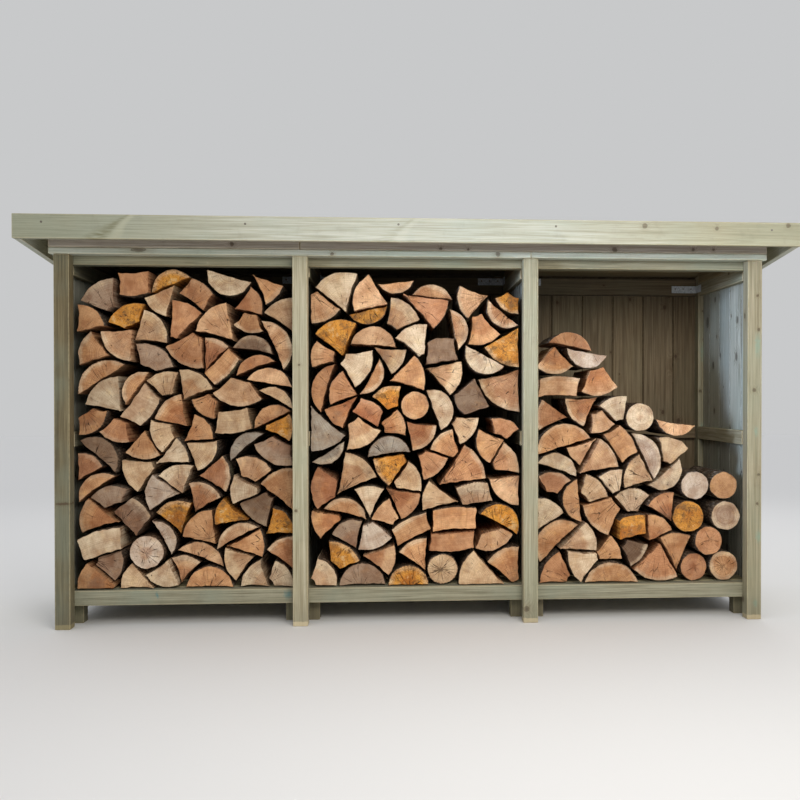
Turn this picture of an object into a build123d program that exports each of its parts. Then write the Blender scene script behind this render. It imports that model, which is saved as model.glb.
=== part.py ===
from build123d import *

import math
import os
import random

# Three-bay log store in softwood, in millimetres.
# X runs along the front, Y from the front to the back, Z up from the ground.
# The origin is on the ground, in the middle of the roof's outline.

# Frame
BAYS = 3
FRAME_WIDTH = 2110.0
FRAME_DEPTH = 615.0
POST = 45.0
POST_HEIGHT = 1098.0

# Horizontal timbers of the front
RAIL = 45.0
FLOOR_RAIL_BOTTOM = 61.0
STRIP_HEIGHT = 19.0
STRIP_OVERRUN = 15.0
BEARER_HEIGHT = 53.0

# Boarded walls
BOARD = 12.0
BOARD_COVER = 112.0
BOARD_BOTTOM = 40.0
GROOVE_WIDTH = 5.0
GROOVE_DEPTH = 2.5
BATTEN = 20.0
BATTEN_WIDTH = 45.0
BATTEN_LENGTH_GAP = 0.3
BACK_TOP_BATTEN_WIDTH = 62.0
BACK_TOP_GAP = 7.0
MID_BATTEN_SHARE = 0.484

# Floor
LEG = 45.0
BEARER_UNDER_FLOOR = 45.0
SLAT = 20.0
SLAT_WIDTH = 95.0
SLAT_GAP = 46.0
FRONT_GAP_SHARE = 0.3

# Roof
ROOF_PITCH = 5.3
SIDE_OVERHANG = 80.0
FRONT_OVERHANG = 105.0
BACK_OVERHANG = 25.0
EDGE_BOARD = 20.0
EDGE_BOARD_HEIGHT = 70.0
ROOF_BOARD = 18.0
ROOF_BOARD_TAPER = 5.0
ROOF_BOARD_COVER = 113.0
ROOF_LAP = 12.0

# Galvanised angle plates in the back corners
PLATE = 2.0
PLATE_HEIGHT = 25.0
PLATE_LEG = 90.0
PLATE_RETURN = 60.0
PLATE_HOLE = 5.0
PLATE_HOLES = 3
PLATE_HOLE_END = 13.0
PLATE_HOLE_PITCH = 29.0
PLATE_HOLE_HEIGHT = 15.0
END_PLATE_RISE = 11.0
PARTITION_PLATE_RISE = 34.0

# Firewood
LOG_LENGTH = 300.0
LOG_LENGTH_SPREAD = 12.0
LOG_FRONT_SPREAD = 18.0
LOG_SETBACK = 42.0
LOG_GAP = 0.3
LOG_SIDE_GAP = 1.2
LOG_TOP_GAP = 4.0
TIERS = 4

# Shapes of the logs: quarters, half moons, flat pieces, and the rest whole
QUARTER_SHARE = 0.52
HALF_MOON_SHARE = 0.27
FLAT_SHARE = 0.17
QUARTER_ANGLE = (46.0, 90.0)
QUARTER_RADIUS = (106.0, 164.0)
QUARTER_SQUASH = (0.84, 1.0)
BROAD_ANGLE = 69.0
BROAD_SIZE = 0.86
HEARTLESS_SHARE = 0.38
HEART_OFF = (0.16, 0.36)
HEART_OFF_TURN = 8.0
HALF_MOON_RADIUS = (66.0, 94.0)
HALF_MOON_HEIGHT = (0.6, 1.0)
FLAT_WIDTH = (88.0, 150.0)
FLAT_HEIGHT = (52.0, 86.0)
FLAT_LEAN = 0.3
FLAT_CROWN = 9.0
ROUND_RADIUS = (46.0, 58.0)
BARK_FACE = 26.0

# Stacking, log by log
COLUMN = 5.0
SHAPES_TRIED = 9
TURNS_TRIED = 7
ROUNDS_TRIED = 0.4
TALLEST = 1.25
HEIGHT_WEIGHT = 10.6
SLOT = 45.0
SLOT_WEIGHT = 0.5
MISSES = 8
FILLINGS = 3

# Settling of the piles
SETTLE_STEPS = 90
CALM_STEPS = 40
FALL = 2.4
CALM_FALL = 1.0
SHAKE = 1.6
SHAKE_TURN = 0.02
SPIN_SHARE = 0.5
SWEEPS = 3
UNDER_WEIGHT = 2.0
TOUCH = 0.05
LAST_SWEEPS = 400
FRESH_PAIRS = 20

# Heights of the piles, as shares of the bay's height
FULL_FILL = 1.0
NEARLY_FULL_FALL = 0.07
USED_FILL = 0.99
USED_FALL = 0.62
USED_FALL_END = 0.8
ROUNDS_FROM = 0.7

# Clearances
SEAM = 0.3

# Stock that the cut under the roof takes off
ROOF_CUT = 5.0

# Worked-out places
HALF = FRAME_WIDTH / 2
ROOF_HALF = HALF + SIDE_OVERHANG
ROOF_DEPTH = FRONT_OVERHANG + FRAME_DEPTH + BACK_OVERHANG
ROOF_FRONT = -ROOF_DEPTH / 2
ROOF_BACK = ROOF_DEPTH / 2
POST_FRONT = ROOF_FRONT + FRONT_OVERHANG
POST_BACK = POST_FRONT + POST
RAIL_BACK = POST_BACK + RAIL
BACK_OUTER = POST_FRONT + FRAME_DEPTH
BACK_INNER = BACK_OUTER - BOARD
BATTEN_FRONT = BACK_INNER - BATTEN
STRIP_TOP = POST_HEIGHT + STRIP_HEIGHT
FLOOR_TOP = FLOOR_RAIL_BOTTOM + RAIL
SLAT_BOTTOM = FLOOR_TOP - SLAT
END_INNER = HALF - BOARD
BAY_PITCH = (FRAME_WIDTH - POST) / BAYS
POST_CENTRES = [-HALF + POST / 2 + BAY_PITCH * i for i in range(BAYS + 1)]
SLOPE = math.tan(math.radians(ROOF_PITCH))
POST_NAMES = ["left", "mid_left", "mid_right", "right"]
BAY_NAMES = ["left", "middle", "right"]


def underside(y):
    """Height of the roof boards' lower face at depth y."""
    return STRIP_TOP + BEARER_HEIGHT - SLOPE * (y - POST_FRONT)


def roof_top(y):
    """Height of the roof's upper face at depth y."""
    return underside(y) + ROOF_BOARD


# Heights that follow the roof and the posts
TOP_BATTEN_BOTTOM = underside(BACK_INNER) - BACK_TOP_GAP - BACK_TOP_BATTEN_WIDTH
MID_BATTEN_BOTTOM = MID_BATTEN_SHARE * POST_HEIGHT


def block(x0, x1, y0, y1, z0, z1):
    """A squared timber between two corners."""
    return Pos((x0 + x1) / 2, (y0 + y1) / 2, (z0 + z1) / 2) * Box(x1 - x0, y1 - y0, z1 - z0)


def along_x(section, x0, x1):
    """A timber along X with a closed (y, z) section."""
    outline = Polyline([(x0, y, z) for y, z in section], close=True)
    return extrude(make_face(outline), amount=x1 - x0, dir=(1, 0, 0))


def along_y(section, y0, y1):
    """A timber along Y with a closed (x, z) section."""
    outline = Polyline([(x, y0, z) for x, z in section], close=True)
    return extrude(make_face(outline), amount=y1 - y0, dir=(0, 1, 0))


def under_roof(x0, x1, y0, y1, z0):
    """An upright or rail between two depths whose top is cut to the roof's slope."""
    section = [(y0, z0), (y1, z0), (y1, underside(y1)), (y0, underside(y0))]
    return along_x(section, x0, x1)


def keep(name, solids):
    """Write one node."""
    group = solids[0] if len(solids) == 1 else Compound(children=list(solids))
    export_step(group, f"parts/{name}.step")


def groove_run(start, end):
    """Places of the board joints between two ends of a wall."""
    boards = max(2, round((end - start) / BOARD_COVER))
    cover = (end - start) / boards
    return [start + cover * i for i in range(1, boards)]


def boarded_plan(start, end, low, high):
    """Outline of a matchboarded wall: a run of boards with a V at each joint on both faces."""
    half = GROOVE_WIDTH / 2
    near = [(start, low)]
    far = [(start, high)]
    for joint in groove_run(start, end):
        near += [(joint - half, low), (joint, low + GROOVE_DEPTH), (joint + half, low)]
        far += [(joint - half, high), (joint, high - GROOVE_DEPTH), (joint + half, high)]
    near.append((end, low))
    far.append((end, high))
    return near + far[::-1]


def roof_trim(solid, y0, y1):
    """The part of a wall that is under the roof boards."""
    front, back = y0 - ROOF_CUT, y1 + ROOF_CUT
    top = underside(front) + ROOF_CUT
    section = [(front, underside(front)), (back, underside(back)), (back, top), (front, top)]
    return solid - along_x(section, -ROOF_HALF, ROOF_HALF)


def wall_along_y(x0, x1, y0, y1, z0):
    """A boarded wall from front to back with vertical boards, cut to the roof's slope."""
    plan = [(x, y, z0) for y, x in boarded_plan(y0, y1, x0, x1)]
    face = make_face(Polyline(plan, close=True))
    return roof_trim(extrude(face, amount=underside(y0) + ROOF_CUT - z0, dir=(0, 0, 1)), y0, y1)


def wall_along_x(x0, x1, y0, y1, z0):
    """A boarded wall from side to side with vertical boards, cut to the roof's slope."""
    plan = [(x, y, z0) for x, y in boarded_plan(x0, x1, y0, y1)]
    face = make_face(Polyline(plan, close=True))
    return roof_trim(extrude(face, amount=underside(y0) + ROOF_CUT - z0, dir=(0, 0, 1)), y0, y1)


def bay_edges(bay):
    """Faces of the posts on each side of a bay."""
    return POST_CENTRES[bay] + POST / 2, POST_CENTRES[bay + 1] - POST / 2


def bay_walls(bay):
    """Faces of the boards on each side of a bay."""
    left = -END_INNER if bay == 0 else POST_CENTRES[bay] + BOARD / 2
    right = END_INNER if bay == BAYS - 1 else POST_CENTRES[bay + 1] - BOARD / 2
    return left, right


def bay_batten_faces(bay):
    """Faces of the battens on each side of a bay."""
    left = -END_INNER + BATTEN if bay == 0 else POST_CENTRES[bay] + POST / 2
    right = END_INNER - BATTEN if bay == BAYS - 1 else POST_CENTRES[bay + 1] - POST / 2
    return left, right


def build_front():
    """Posts, rails behind them, and the two timbers over them."""
    for name, centre in zip(POST_NAMES, POST_CENTRES):
        post = block(centre - POST / 2, centre + POST / 2, POST_FRONT, POST_BACK, 0, POST_HEIGHT)
        keep(f"front_post_{name}", [post])
    rail = (POST_BACK, RAIL_BACK)
    keep("front_floor_rail", [block(-END_INNER, END_INNER, *rail, FLOOR_RAIL_BOTTOM, FLOOR_TOP)])
    keep("front_top_rail", [block(-END_INNER, END_INNER, *rail, STRIP_TOP - RAIL, STRIP_TOP)])
    end = HALF + STRIP_OVERRUN
    strip_joint = POST_CENTRES[-2]
    bearer_joint = POST_CENTRES[1]
    strips = []
    bearers = []
    for x0, x1 in ((-end, strip_joint - SEAM / 2), (strip_joint + SEAM / 2, end)):
        strips.append(block(x0, x1, POST_FRONT, POST_BACK, POST_HEIGHT, STRIP_TOP))
    for x0, x1 in ((-end, bearer_joint - SEAM / 2), (bearer_joint + SEAM / 2, end)):
        bearers.append(under_roof(x0, x1, POST_FRONT, POST_BACK, STRIP_TOP))
    keep("post_cap_strip", strips)
    keep("front_bearer", bearers)


def build_end_walls():
    """Boards, battens, rear stile and rafter of the two ends."""
    for side, name in ((-1, "left"), (1, "right")):
        x0, x1 = sorted((side * END_INNER, side * HALF))
        keep(f"{name}_end_boards", [wall_along_y(x0, x1, POST_BACK, BACK_INNER, BOARD_BOTTOM)])
        x0, x1 = sorted((side * END_INNER, side * (END_INNER - BATTEN)))
        stile_front = BACK_INNER - BATTEN_WIDTH
        run = (RAIL_BACK, stile_front - BATTEN_LENGTH_GAP)
        top = TOP_BATTEN_BOTTOM + BATTEN_WIDTH
        battens = [
            block(x0, x1, *run, TOP_BATTEN_BOTTOM, top),
            block(x0, x1, *run, MID_BATTEN_BOTTOM, MID_BATTEN_BOTTOM + BATTEN_WIDTH),
            under_roof(x0, x1, stile_front, BACK_INNER, FLOOR_TOP),
        ]
        keep(f"{name}_end_battens", battens)


def build_partitions():
    """Boards and battens of the two partitions."""
    for name, centre in zip(("left", "right"), POST_CENTRES[1:-1]):
        boards = wall_along_y(centre - BOARD / 2, centre + BOARD / 2, RAIL_BACK, BACK_INNER, BOARD_BOTTOM)
        keep(f"{name}_partition_boards", [boards])
        battens = []
        for x0, x1 in ((centre - POST / 2, centre - BOARD / 2), (centre + BOARD / 2, centre + POST / 2)):
            for z in (TOP_BATTEN_BOTTOM, MID_BATTEN_BOTTOM):
                battens.append(block(x0, x1, RAIL_BACK, BACK_INNER, z, z + BATTEN_WIDTH))
        keep(f"{name}_partition_battens", battens)


def build_rafters():
    """Tapered rafters over the ends and on both faces of each partition."""
    low = TOP_BATTEN_BOTTOM + BATTEN_WIDTH
    rafters = []
    for bay in range(BAYS):
        walls = bay_walls(bay)
        faces = bay_batten_faces(bay)
        for wall, face in zip(walls, faces):
            x0, x1 = sorted((wall, face))
            back = BACK_INNER - BATTEN_WIDTH if abs(wall) == END_INNER else BACK_INNER
            rafters.append(under_roof(x0, x1, RAIL_BACK, back - BATTEN_LENGTH_GAP, low))
    keep("rafters", rafters)


def build_back():
    """Back boards and the battens across them."""
    keep("back_boards", [wall_along_x(-HALF, HALF, BACK_INNER, BACK_OUTER, BOARD_BOTTOM)])
    top = []
    middle = []
    low = []
    for bay in range(BAYS):
        left, right = bay_batten_faces(bay)
        left += SEAM
        right -= SEAM
        rows = (
            (top, TOP_BATTEN_BOTTOM, BACK_TOP_BATTEN_WIDTH),
            (middle, MID_BATTEN_BOTTOM, BATTEN_WIDTH),
            (low, FLOOR_TOP, BATTEN_WIDTH),
        )
        for row, z, height in rows:
            row.append(block(left, right, BATTEN_FRONT, BACK_INNER, z, z + height))
    keep("back_top_battens", top)
    keep("back_middle_battens", middle)
    keep("back_floor_battens", low)


def build_floor():
    """Legs, bearers and slats under the firewood."""
    bearer_bottom = SLAT_BOTTOM - BEARER_UNDER_FLOOR
    bearers = []
    legs = []
    for bay in range(BAYS):
        left, right = bay_walls(bay)
        for x0, x1 in ((left, left + LEG), (right - LEG, right)):
            front = (RAIL_BACK, RAIL_BACK + LEG)
            back = (BACK_INNER - LEG, BACK_INNER)
            legs += [block(x0, x1, *ends, 0, SLAT_BOTTOM) for ends in (front, back)]
            bearers.append(block(x0, x1, front[1], back[0], bearer_bottom, SLAT_BOTTOM))
        slats = []
        count = max(2, round((BACK_INNER - RAIL_BACK + SLAT_GAP) / (SLAT_WIDTH + SLAT_GAP)))
        gap = (BATTEN_FRONT - RAIL_BACK - count * SLAT_WIDTH) / count
        for i in range(count):
            y0 = RAIL_BACK + gap * FRONT_GAP_SHARE + i * (SLAT_WIDTH + gap)
            slats.append(block(left + SEAM, right - SEAM, y0, y0 + SLAT_WIDTH, SLAT_BOTTOM, FLOOR_TOP))
        keep(f"{BAY_NAMES[bay]}_floor_slats", slats)
    keep("floor_bearers", bearers)
    keep("floor_legs", legs)


def build_roof():
    """Lapped roof boards, front fascia and bargeboards."""
    inner = ROOF_HALF - EDGE_BOARD
    front = ROOF_FRONT + EDGE_BOARD
    fascia_top = roof_top(front)
    keep("fascia", [block(-ROOF_HALF, ROOF_HALF, ROOF_FRONT, front, fascia_top - EDGE_BOARD_HEIGHT, fascia_top)])
    for side, name in ((-1, "left"), (1, "right")):
        x0, x1 = sorted((side * inner, side * ROOF_HALF))
        section = [
            (front, roof_top(front) - EDGE_BOARD_HEIGHT),
            (ROOF_BACK, roof_top(ROOF_BACK) - EDGE_BOARD_HEIGHT),
            (ROOF_BACK, roof_top(ROOF_BACK)),
            (front, roof_top(front)),
        ]
        keep(f"{name}_bargeboard", [along_x(section, x0, x1)])
    turn = math.radians(ROOF_PITCH)
    run = (ROOF_BACK - front - ROOF_BOARD * math.sin(turn)) / math.cos(turn)
    count = round(run / ROOF_BOARD_COVER)
    cover = run / count
    half_thick = ROOF_BOARD / 2
    boards = []
    for i in range(count):
        start = i * cover
        end = start + cover
        upper = ROOF_LAP if i else 0.0
        lower = ROOF_LAP if i < count - 1 else 0.0
        thin = ROOF_BOARD - ROOF_BOARD_TAPER
        section = [(start, 0.0), (end - SEAM, 0.0)]
        if lower:
            section += [(end - SEAM, half_thick), (end + lower - SEAM, half_thick)]
        section += [(end + lower - SEAM, ROOF_BOARD), (start + upper, thin)]
        if upper:
            section += [(start + upper, half_thick - SEAM), (start, half_thick - SEAM)]
        boards.append(along_x([on_slope(front, u, v) for u, v in section], -inner, inner))
    keep("roof_boards", boards)


def on_slope(front, along, up):
    """A point measured down the roof from its front edge and square to its underside."""
    turn = math.radians(ROOF_PITCH)
    y = front + along * math.cos(turn) + up * math.sin(turn)
    z = underside(front) - along * math.sin(turn) + up * math.cos(turn)
    return y, z


def angle_plate(corner_x, inward, bottom):
    """A perforated angle plate with one leg on the back batten and one along the side."""
    face = BATTEN_FRONT
    x0, x1 = sorted((corner_x, corner_x + inward * PLATE_LEG))
    plate = block(x0, x1, face - PLATE, face, bottom, bottom + PLATE_HEIGHT)
    x0, x1 = sorted((corner_x, corner_x + inward * PLATE))
    plate += block(x0, x1, face - PLATE_RETURN, face - PLATE, bottom, bottom + PLATE_HEIGHT)
    hole = Rot(90, 0, 0) * Cylinder(PLATE_HOLE / 2, 4 * PLATE)
    for i in range(PLATE_HOLES):
        x = corner_x + inward * (PLATE_LEG - PLATE_HOLE_END - PLATE_HOLE_PITCH * i)
        plate -= Pos(x, face - PLATE / 2, bottom + PLATE_HOLE_HEIGHT) * hole
    return plate


def build_plates():
    """Angle plates in the back corners of the bays."""
    plates = []
    for bay in range(BAYS):
        left, right = bay_batten_faces(bay)
        for corner, inward, end in ((left, 1, bay == 0), (right, -1, bay == BAYS - 1)):
            bottom = TOP_BATTEN_BOTTOM + (END_PLATE_RISE if end else PARTITION_PLATE_RISE)
            plates.append(angle_plate(corner + inward * SEAM, inward, bottom))
    keep("angle_plates", plates)


def cut(outline, nx, nz, reach):
    """The part of a convex outline with nx * x + nz * z up to reach."""
    out = []
    for (x0, z0), (x1, z1) in zip(outline, outline[1:] + outline[:1]):
        a = nx * x0 + nz * z0 - reach
        b = nx * x1 + nz * z1 - reach
        if a <= 0:
            out.append((x0, z0))
        if a * b < 0:
            share = a / (a - b)
            out.append((x0 + share * (x1 - x0), z0 + share * (z1 - z0)))
    return out


def middle_of(outline):
    """Area and centre of a convex outline."""
    area = cx = cz = 0.0
    for (x0, z0), (x1, z1) in zip(outline, outline[1:] + outline[:1]):
        twice = x0 * z1 - x1 * z0
        area += twice
        cx += (x0 + x1) * twice
        cz += (z0 + z1) * twice
    return area / 2, cx / (3 * area), cz / (3 * area)


def span(outline):
    """Least and greatest x of an outline."""
    across = [x for x, _ in outline]
    return min(across), max(across)


def arc(radius_x, radius_z, start, end):
    """Corners of a curve of bark faces between two angles."""
    faces = max(2, round((end - start) * radius_x / BARK_FACE))
    turns = [start + (end - start) * i / faces for i in range(faces + 1)]
    return [(radius_x * math.cos(turn), radius_z * math.sin(turn)) for turn in turns]


def log_shape(rng, whole):
    """Outline of one log about its middle."""
    pick = rng.random()
    if whole or pick > QUARTER_SHARE + HALF_MOON_SHARE + FLAT_SHARE:
        radius = rng.uniform(*ROUND_RADIUS)
        shape = arc(radius, radius, 0, 2 * math.pi)[:-1]
    elif pick < QUARTER_SHARE:
        angle = rng.uniform(*QUARTER_ANGLE)
        half = math.radians(angle) / 2
        radius = rng.uniform(*QUARTER_RADIUS) * (BROAD_SIZE if angle > BROAD_ANGLE else 1)
        shape = [(0.0, 0.0)] + arc(radius, radius * rng.uniform(*QUARTER_SQUASH), -half, half)
        if rng.random() < HEARTLESS_SHARE:
            turn = math.radians(rng.uniform(-HEART_OFF_TURN, HEART_OFF_TURN))
            shape = cut(shape, -math.cos(turn), -math.sin(turn), -rng.uniform(*HEART_OFF) * radius)
    elif pick < QUARTER_SHARE + HALF_MOON_SHARE:
        radius = rng.uniform(*HALF_MOON_RADIUS)
        half = math.acos(1 - rng.uniform(*HALF_MOON_HEIGHT))
        shape = arc(radius, radius, -half, half)
    else:
        side, height = rng.uniform(*FLAT_WIDTH) / 2, rng.uniform(*FLAT_HEIGHT)
        left, right = (rng.uniform(-FLAT_LEAN, FLAT_LEAN) * height for _ in range(2))
        crown = height + FLAT_CROWN
        shape = [(-side, 0.0), (side, 0.0), (side + right, height)]
        shape += [(side / 3, crown), (-side / 3, crown), (left - side, height)]
    _, cx, cz = middle_of(shape)
    return [(x - cx, z - cz) for x, z in shape]


def turned(shape, x, z, turn):
    """A shape turned about its middle and moved to a place."""
    c, s = math.cos(turn), math.sin(turn)
    return [(x + px * c - pz * s, z + px * s + pz * c) for px, pz in shape]


def column_heights(outline, left, count):
    """Lower and upper height of an outline over columns from a left end."""
    low = [math.inf] * count
    high = [-math.inf] * count
    for start, end in zip(outline, outline[1:] + outline[:1]):
        (x0, z0), (x1, z1) = sorted((start, end))
        first = max(0, math.ceil((x0 - left) / COLUMN))
        last = min(count - 1, math.floor((x1 - left) / COLUMN))
        for i in range(first, last + 1):
            share = (left + i * COLUMN - x0) / (x1 - x0) if x1 > x0 else 0.0
            z = z0 + (z1 - z0) * share
            low[i] = min(low[i], z)
            high[i] = max(high[i], z)
    return low, high


def slot_beside(sky, start, step, top):
    """Area of a narrow slot that a log with this top leaves beside it."""
    area = 0.0
    i = start
    while 0 <= i < len(sky) and sky[i] < top:
        area += (top - sky[i]) * COLUMN
        i += step
        if abs(i - start) * COLUMN >= SLOT:
            return 0.0
    return area


def best_log(sky, limit, height, rounds_from, rng):
    """The log, of a few tried in a few turns, that lies lowest and leaves the least empty under it."""
    best = None
    for _ in range(SHAPES_TRIED):
        whole = rounds_from < len(sky) * COLUMN and rng.random() < ROUNDS_TRIED
        shape = log_shape(rng, whole)
        area = middle_of(shape)[0]
        for _ in range(1 if whole else TURNS_TRIED):
            turn = rng.uniform(0, 2 * math.pi)
            outline = turned(shape, 0, 0, turn)
            left, right = span(outline)
            if max(z for _, z in outline) - min(z for _, z in outline) > TALLEST * (right - left):
                continue
            count = int((right - left) / COLUMN) + 1
            low, high = column_heights(outline, left, count)
            for i in range(len(sky) - count):
                if (i * COLUMN - left > rounds_from) != whole:
                    continue
                under = sky[i:i + count]
                lift = max(a - b for a, b in zip(under, low))
                if any(top + lift > most for top, most in zip(high, limit[i:i + count])):
                    continue
                empty = sum(lift + b - a for a, b in zip(under, low)) * COLUMN
                slots = slot_beside(sky, i - 1, -1, high[0] + lift) + slot_beside(sky, i + count, 1, high[-1] + lift)
                score = (empty + SLOT_WEIGHT * slots) / area + HEIGHT_WEIGHT * lift / height
                if best is None or score < best[0]:
                    best = (score, shape, i * COLUMN - left, lift, turn)
    return best


class Log:
    """A log in a pile, which can be pushed and turned."""

    def __init__(self, shape, x, z, turn):
        """Put a shape in its place."""
        self.shape, self.x, self.z, self.turn = shape, x, z, turn
        self.weight = middle_of(shape)[0]
        self.spin = SPIN_SHARE * self.weight * sum(px * px + pz * pz for px, pz in shape) / len(shape)
        self.reach = max(math.hypot(*point) for point in shape)
        self.place()

    def place(self):
        """Work out the corners and the faces' directions."""
        self.points = turned(self.shape, self.x, self.z, self.turn)
        self.faces = []
        for (x0, z0), (x1, z1) in zip(self.points, self.points[1:] + self.points[:1]):
            length = math.dist((x0, z0), (x1, z1))
            nx, nz = (z1 - z0) / length, (x0 - x1) / length
            self.faces.append((nx, nz, nx * x0 + nz * z0))

    def give(self, nx, nz, at):
        """How far a unit push at a point moves that point."""
        lever = (at[0] - self.x) * nz - (at[1] - self.z) * nx
        return 1 / self.weight + lever * lever / self.spin

    def push(self, nx, nz, at, amount):
        """Push at a point."""
        lever = (at[0] - self.x) * nz - (at[1] - self.z) * nx
        self.x += nx * amount / self.weight
        self.z += nz * amount / self.weight
        self.turn += lever * amount / self.spin
        self.place()


def least_overlap(first, second):
    """The face of the first log that the second gets past least, and how far and where it does."""
    best = None
    for nx, nz, reach in first.faces:
        depth, at = min((nx * px + nz * pz - reach, (px, pz)) for px, pz in second.points)
        if depth >= 0:
            return None
        if best is None or depth > best[0]:
            best = (depth, nx, nz, at)
    return best


def ease_apart(first, second):
    """Push two overlapping logs apart, the lower one less, and say how far they overlapped."""
    one = least_overlap(first, second)
    other = least_overlap(second, first) if one else None
    if not other:
        return 0.0
    if other[0] > one[0]:
        first, second, one = second, first, other
    depth, nx, nz, at = one
    firm = [UNDER_WEIGHT if a.z < b.z else 1.0 for a, b in ((first, second), (second, first))]
    amount = -depth / (first.give(nx, nz, at) / firm[0] + second.give(nx, nz, at) / firm[1])
    first.push(-nx, -nz, at, amount / firm[0])
    second.push(nx, nz, at, amount / firm[1])
    return -depth


def hold_in(log, width, height):
    """Push a log back inside the bay, and say how far it was out of it."""
    worst = 0.0
    for nx, nz, reach in ((1, 0, 0.0), (-1, 0, -width), (0, -1, -height), (0, 1, 0.0)):
        depth, at = min((nx * px + nz * pz - reach, (px, pz)) for px, pz in log.points)
        if depth < 0:
            log.push(nx, nz, at, -depth / log.give(nx, nz, at))
            worst = max(worst, -depth)
    return worst


def near_pairs(logs):
    """Pairs of logs that could touch, lowest first."""
    pairs = [(a, b) for i, a in enumerate(logs) for b in logs[i + 1:]]
    near = [(a, b) for a, b in pairs if math.dist((a.x, a.z), (b.x, b.z)) < a.reach + b.reach]
    return sorted(near, key=lambda pair: min(pair[0].z, pair[1].z))


def sweep(logs, pairs, width, height):
    """Ease all logs apart once, and say how far the worst overlapped."""
    worst = max([ease_apart(a, b) for a, b in pairs], default=0.0)
    return max([worst] + [hold_in(log, width, height) for log in logs])


def settle(logs, width, height, rng):
    """Let a pile sink, shaken less and less, until each log rests on those below."""
    for step in range(SETTLE_STEPS + CALM_STEPS):
        heat = max(0.0, 1 - step / SETTLE_STEPS)
        for log in logs:
            log.x += rng.uniform(-SHAKE, SHAKE) * heat
            log.z -= FALL if heat else CALM_FALL
            log.turn += rng.uniform(-SHAKE_TURN, SHAKE_TURN) * heat
            log.place()
        pairs = near_pairs(logs)
        for _ in range(SWEEPS):
            sweep(logs, pairs, width, height)


def parted(logs, width, height):
    """Ease logs apart until no two overlap, and say whether there was room for that."""
    for turn in range(LAST_SWEEPS):
        if turn % FRESH_PAIRS == 0:
            pairs = near_pairs(logs)
        if sweep(logs, pairs, width, height) < TOUCH:
            return True
    return False


def pile(width, height, fill, rounds_from, rng):
    """Outlines of the logs in a bay, each resting on those below."""
    count = int(width / COLUMN) + 1
    limit = [fill(i * COLUMN / width) * height for i in range(count)]
    logs = []
    for _ in range(FILLINGS):
        sky = [0.0] * count
        for log in logs:
            sky = [max(a, b) for a, b in zip(sky, column_heights(log.points, 0.0, count)[1])]
        misses = 0
        while misses < MISSES:
            found = best_log(sky, limit, height, rounds_from, rng)
            if found is None:
                misses += 1
                continue
            logs.append(Log(*found[1:]))
            sky = [max(a, b) for a, b in zip(sky, column_heights(logs[-1].points, 0.0, count)[1])]
        settle(logs, width, height, rng)
    while not parted(logs, width, height):
        logs.remove(max(logs, key=lambda log: log.z))
    return [log.points for log in logs]


def shrunk(outline, by):
    """A convex outline moved in by the same distance on every side."""
    smaller = outline
    for (x0, z0), (x1, z1) in zip(outline, outline[1:] + outline[:1]):
        length = math.dist((x0, z0), (x1, z1))
        nx, nz = (z1 - z0) / length, (x0 - x1) / length
        smaller = cut(smaller, nx, nz, nx * x0 + nz * z0 - by)
    return smaller


def full_bay(share):
    """Height of a full pile, as a share of the bay's height."""
    return FULL_FILL


def nearly_full_bay(share):
    """Height of a pile that falls a little to the right."""
    return FULL_FILL - NEARLY_FULL_FALL * share


def used_bay(share):
    """Height of a pile that has been taken from at its right."""
    return USED_FILL - USED_FALL * min(1.0, share / USED_FALL_END)


def build_firewood():
    """Piles of split logs, one row deep, in nodes by bay and tier."""
    height = STRIP_TOP - RAIL - LOG_TOP_GAP - FLOOR_TOP
    fills = [(full_bay, 11, 1.0), (nearly_full_bay, 14, 1.0), (used_bay, 12, ROUNDS_FROM)]
    for bay, (fill, seed, rounds_from) in enumerate(fills):
        rng = random.Random(seed)
        left, right = bay_edges(bay)
        left += LOG_SIDE_GAP
        width = right - LOG_SIDE_GAP - left
        outlines = pile(width, height, fill, rounds_from * width, rng)
        top = max(z for outline in outlines for _, z in outline)
        tiers = [[] for _ in range(TIERS)]
        for outline in outlines:
            _, _, centre = middle_of(outline)
            front = POST_FRONT + LOG_SETBACK + rng.uniform(0, LOG_FRONT_SPREAD)
            length = LOG_LENGTH + rng.uniform(-LOG_LENGTH_SPREAD, LOG_LENGTH_SPREAD)
            section = [(x + left, z + FLOOR_TOP) for x, z in shrunk(outline, (LOG_GAP + TOUCH) / 2)]
            tier = min(TIERS - 1, int(centre / top * TIERS))
            tiers[tier].append(along_y(section, front, front + length))
        for tier, logs in enumerate(tiers):
            keep(f"firewood_{BAY_NAMES[bay]}_{tier + 1}", logs)


os.makedirs("parts", exist_ok=True)
build_front()
build_end_walls()
build_partitions()
build_rafters()
build_back()
build_floor()
build_roof()
build_plates()
build_firewood()
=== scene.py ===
"""Dresses a three-bay log store: timbers, matchboard walls, split firewood, fixings and their finishes."""

import logging
import math
import random
from dataclasses import dataclass
from enum import Enum
from typing import Callable, NamedTuple

import bmesh
import bpy
import numpy as np
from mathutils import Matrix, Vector, noise


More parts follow.
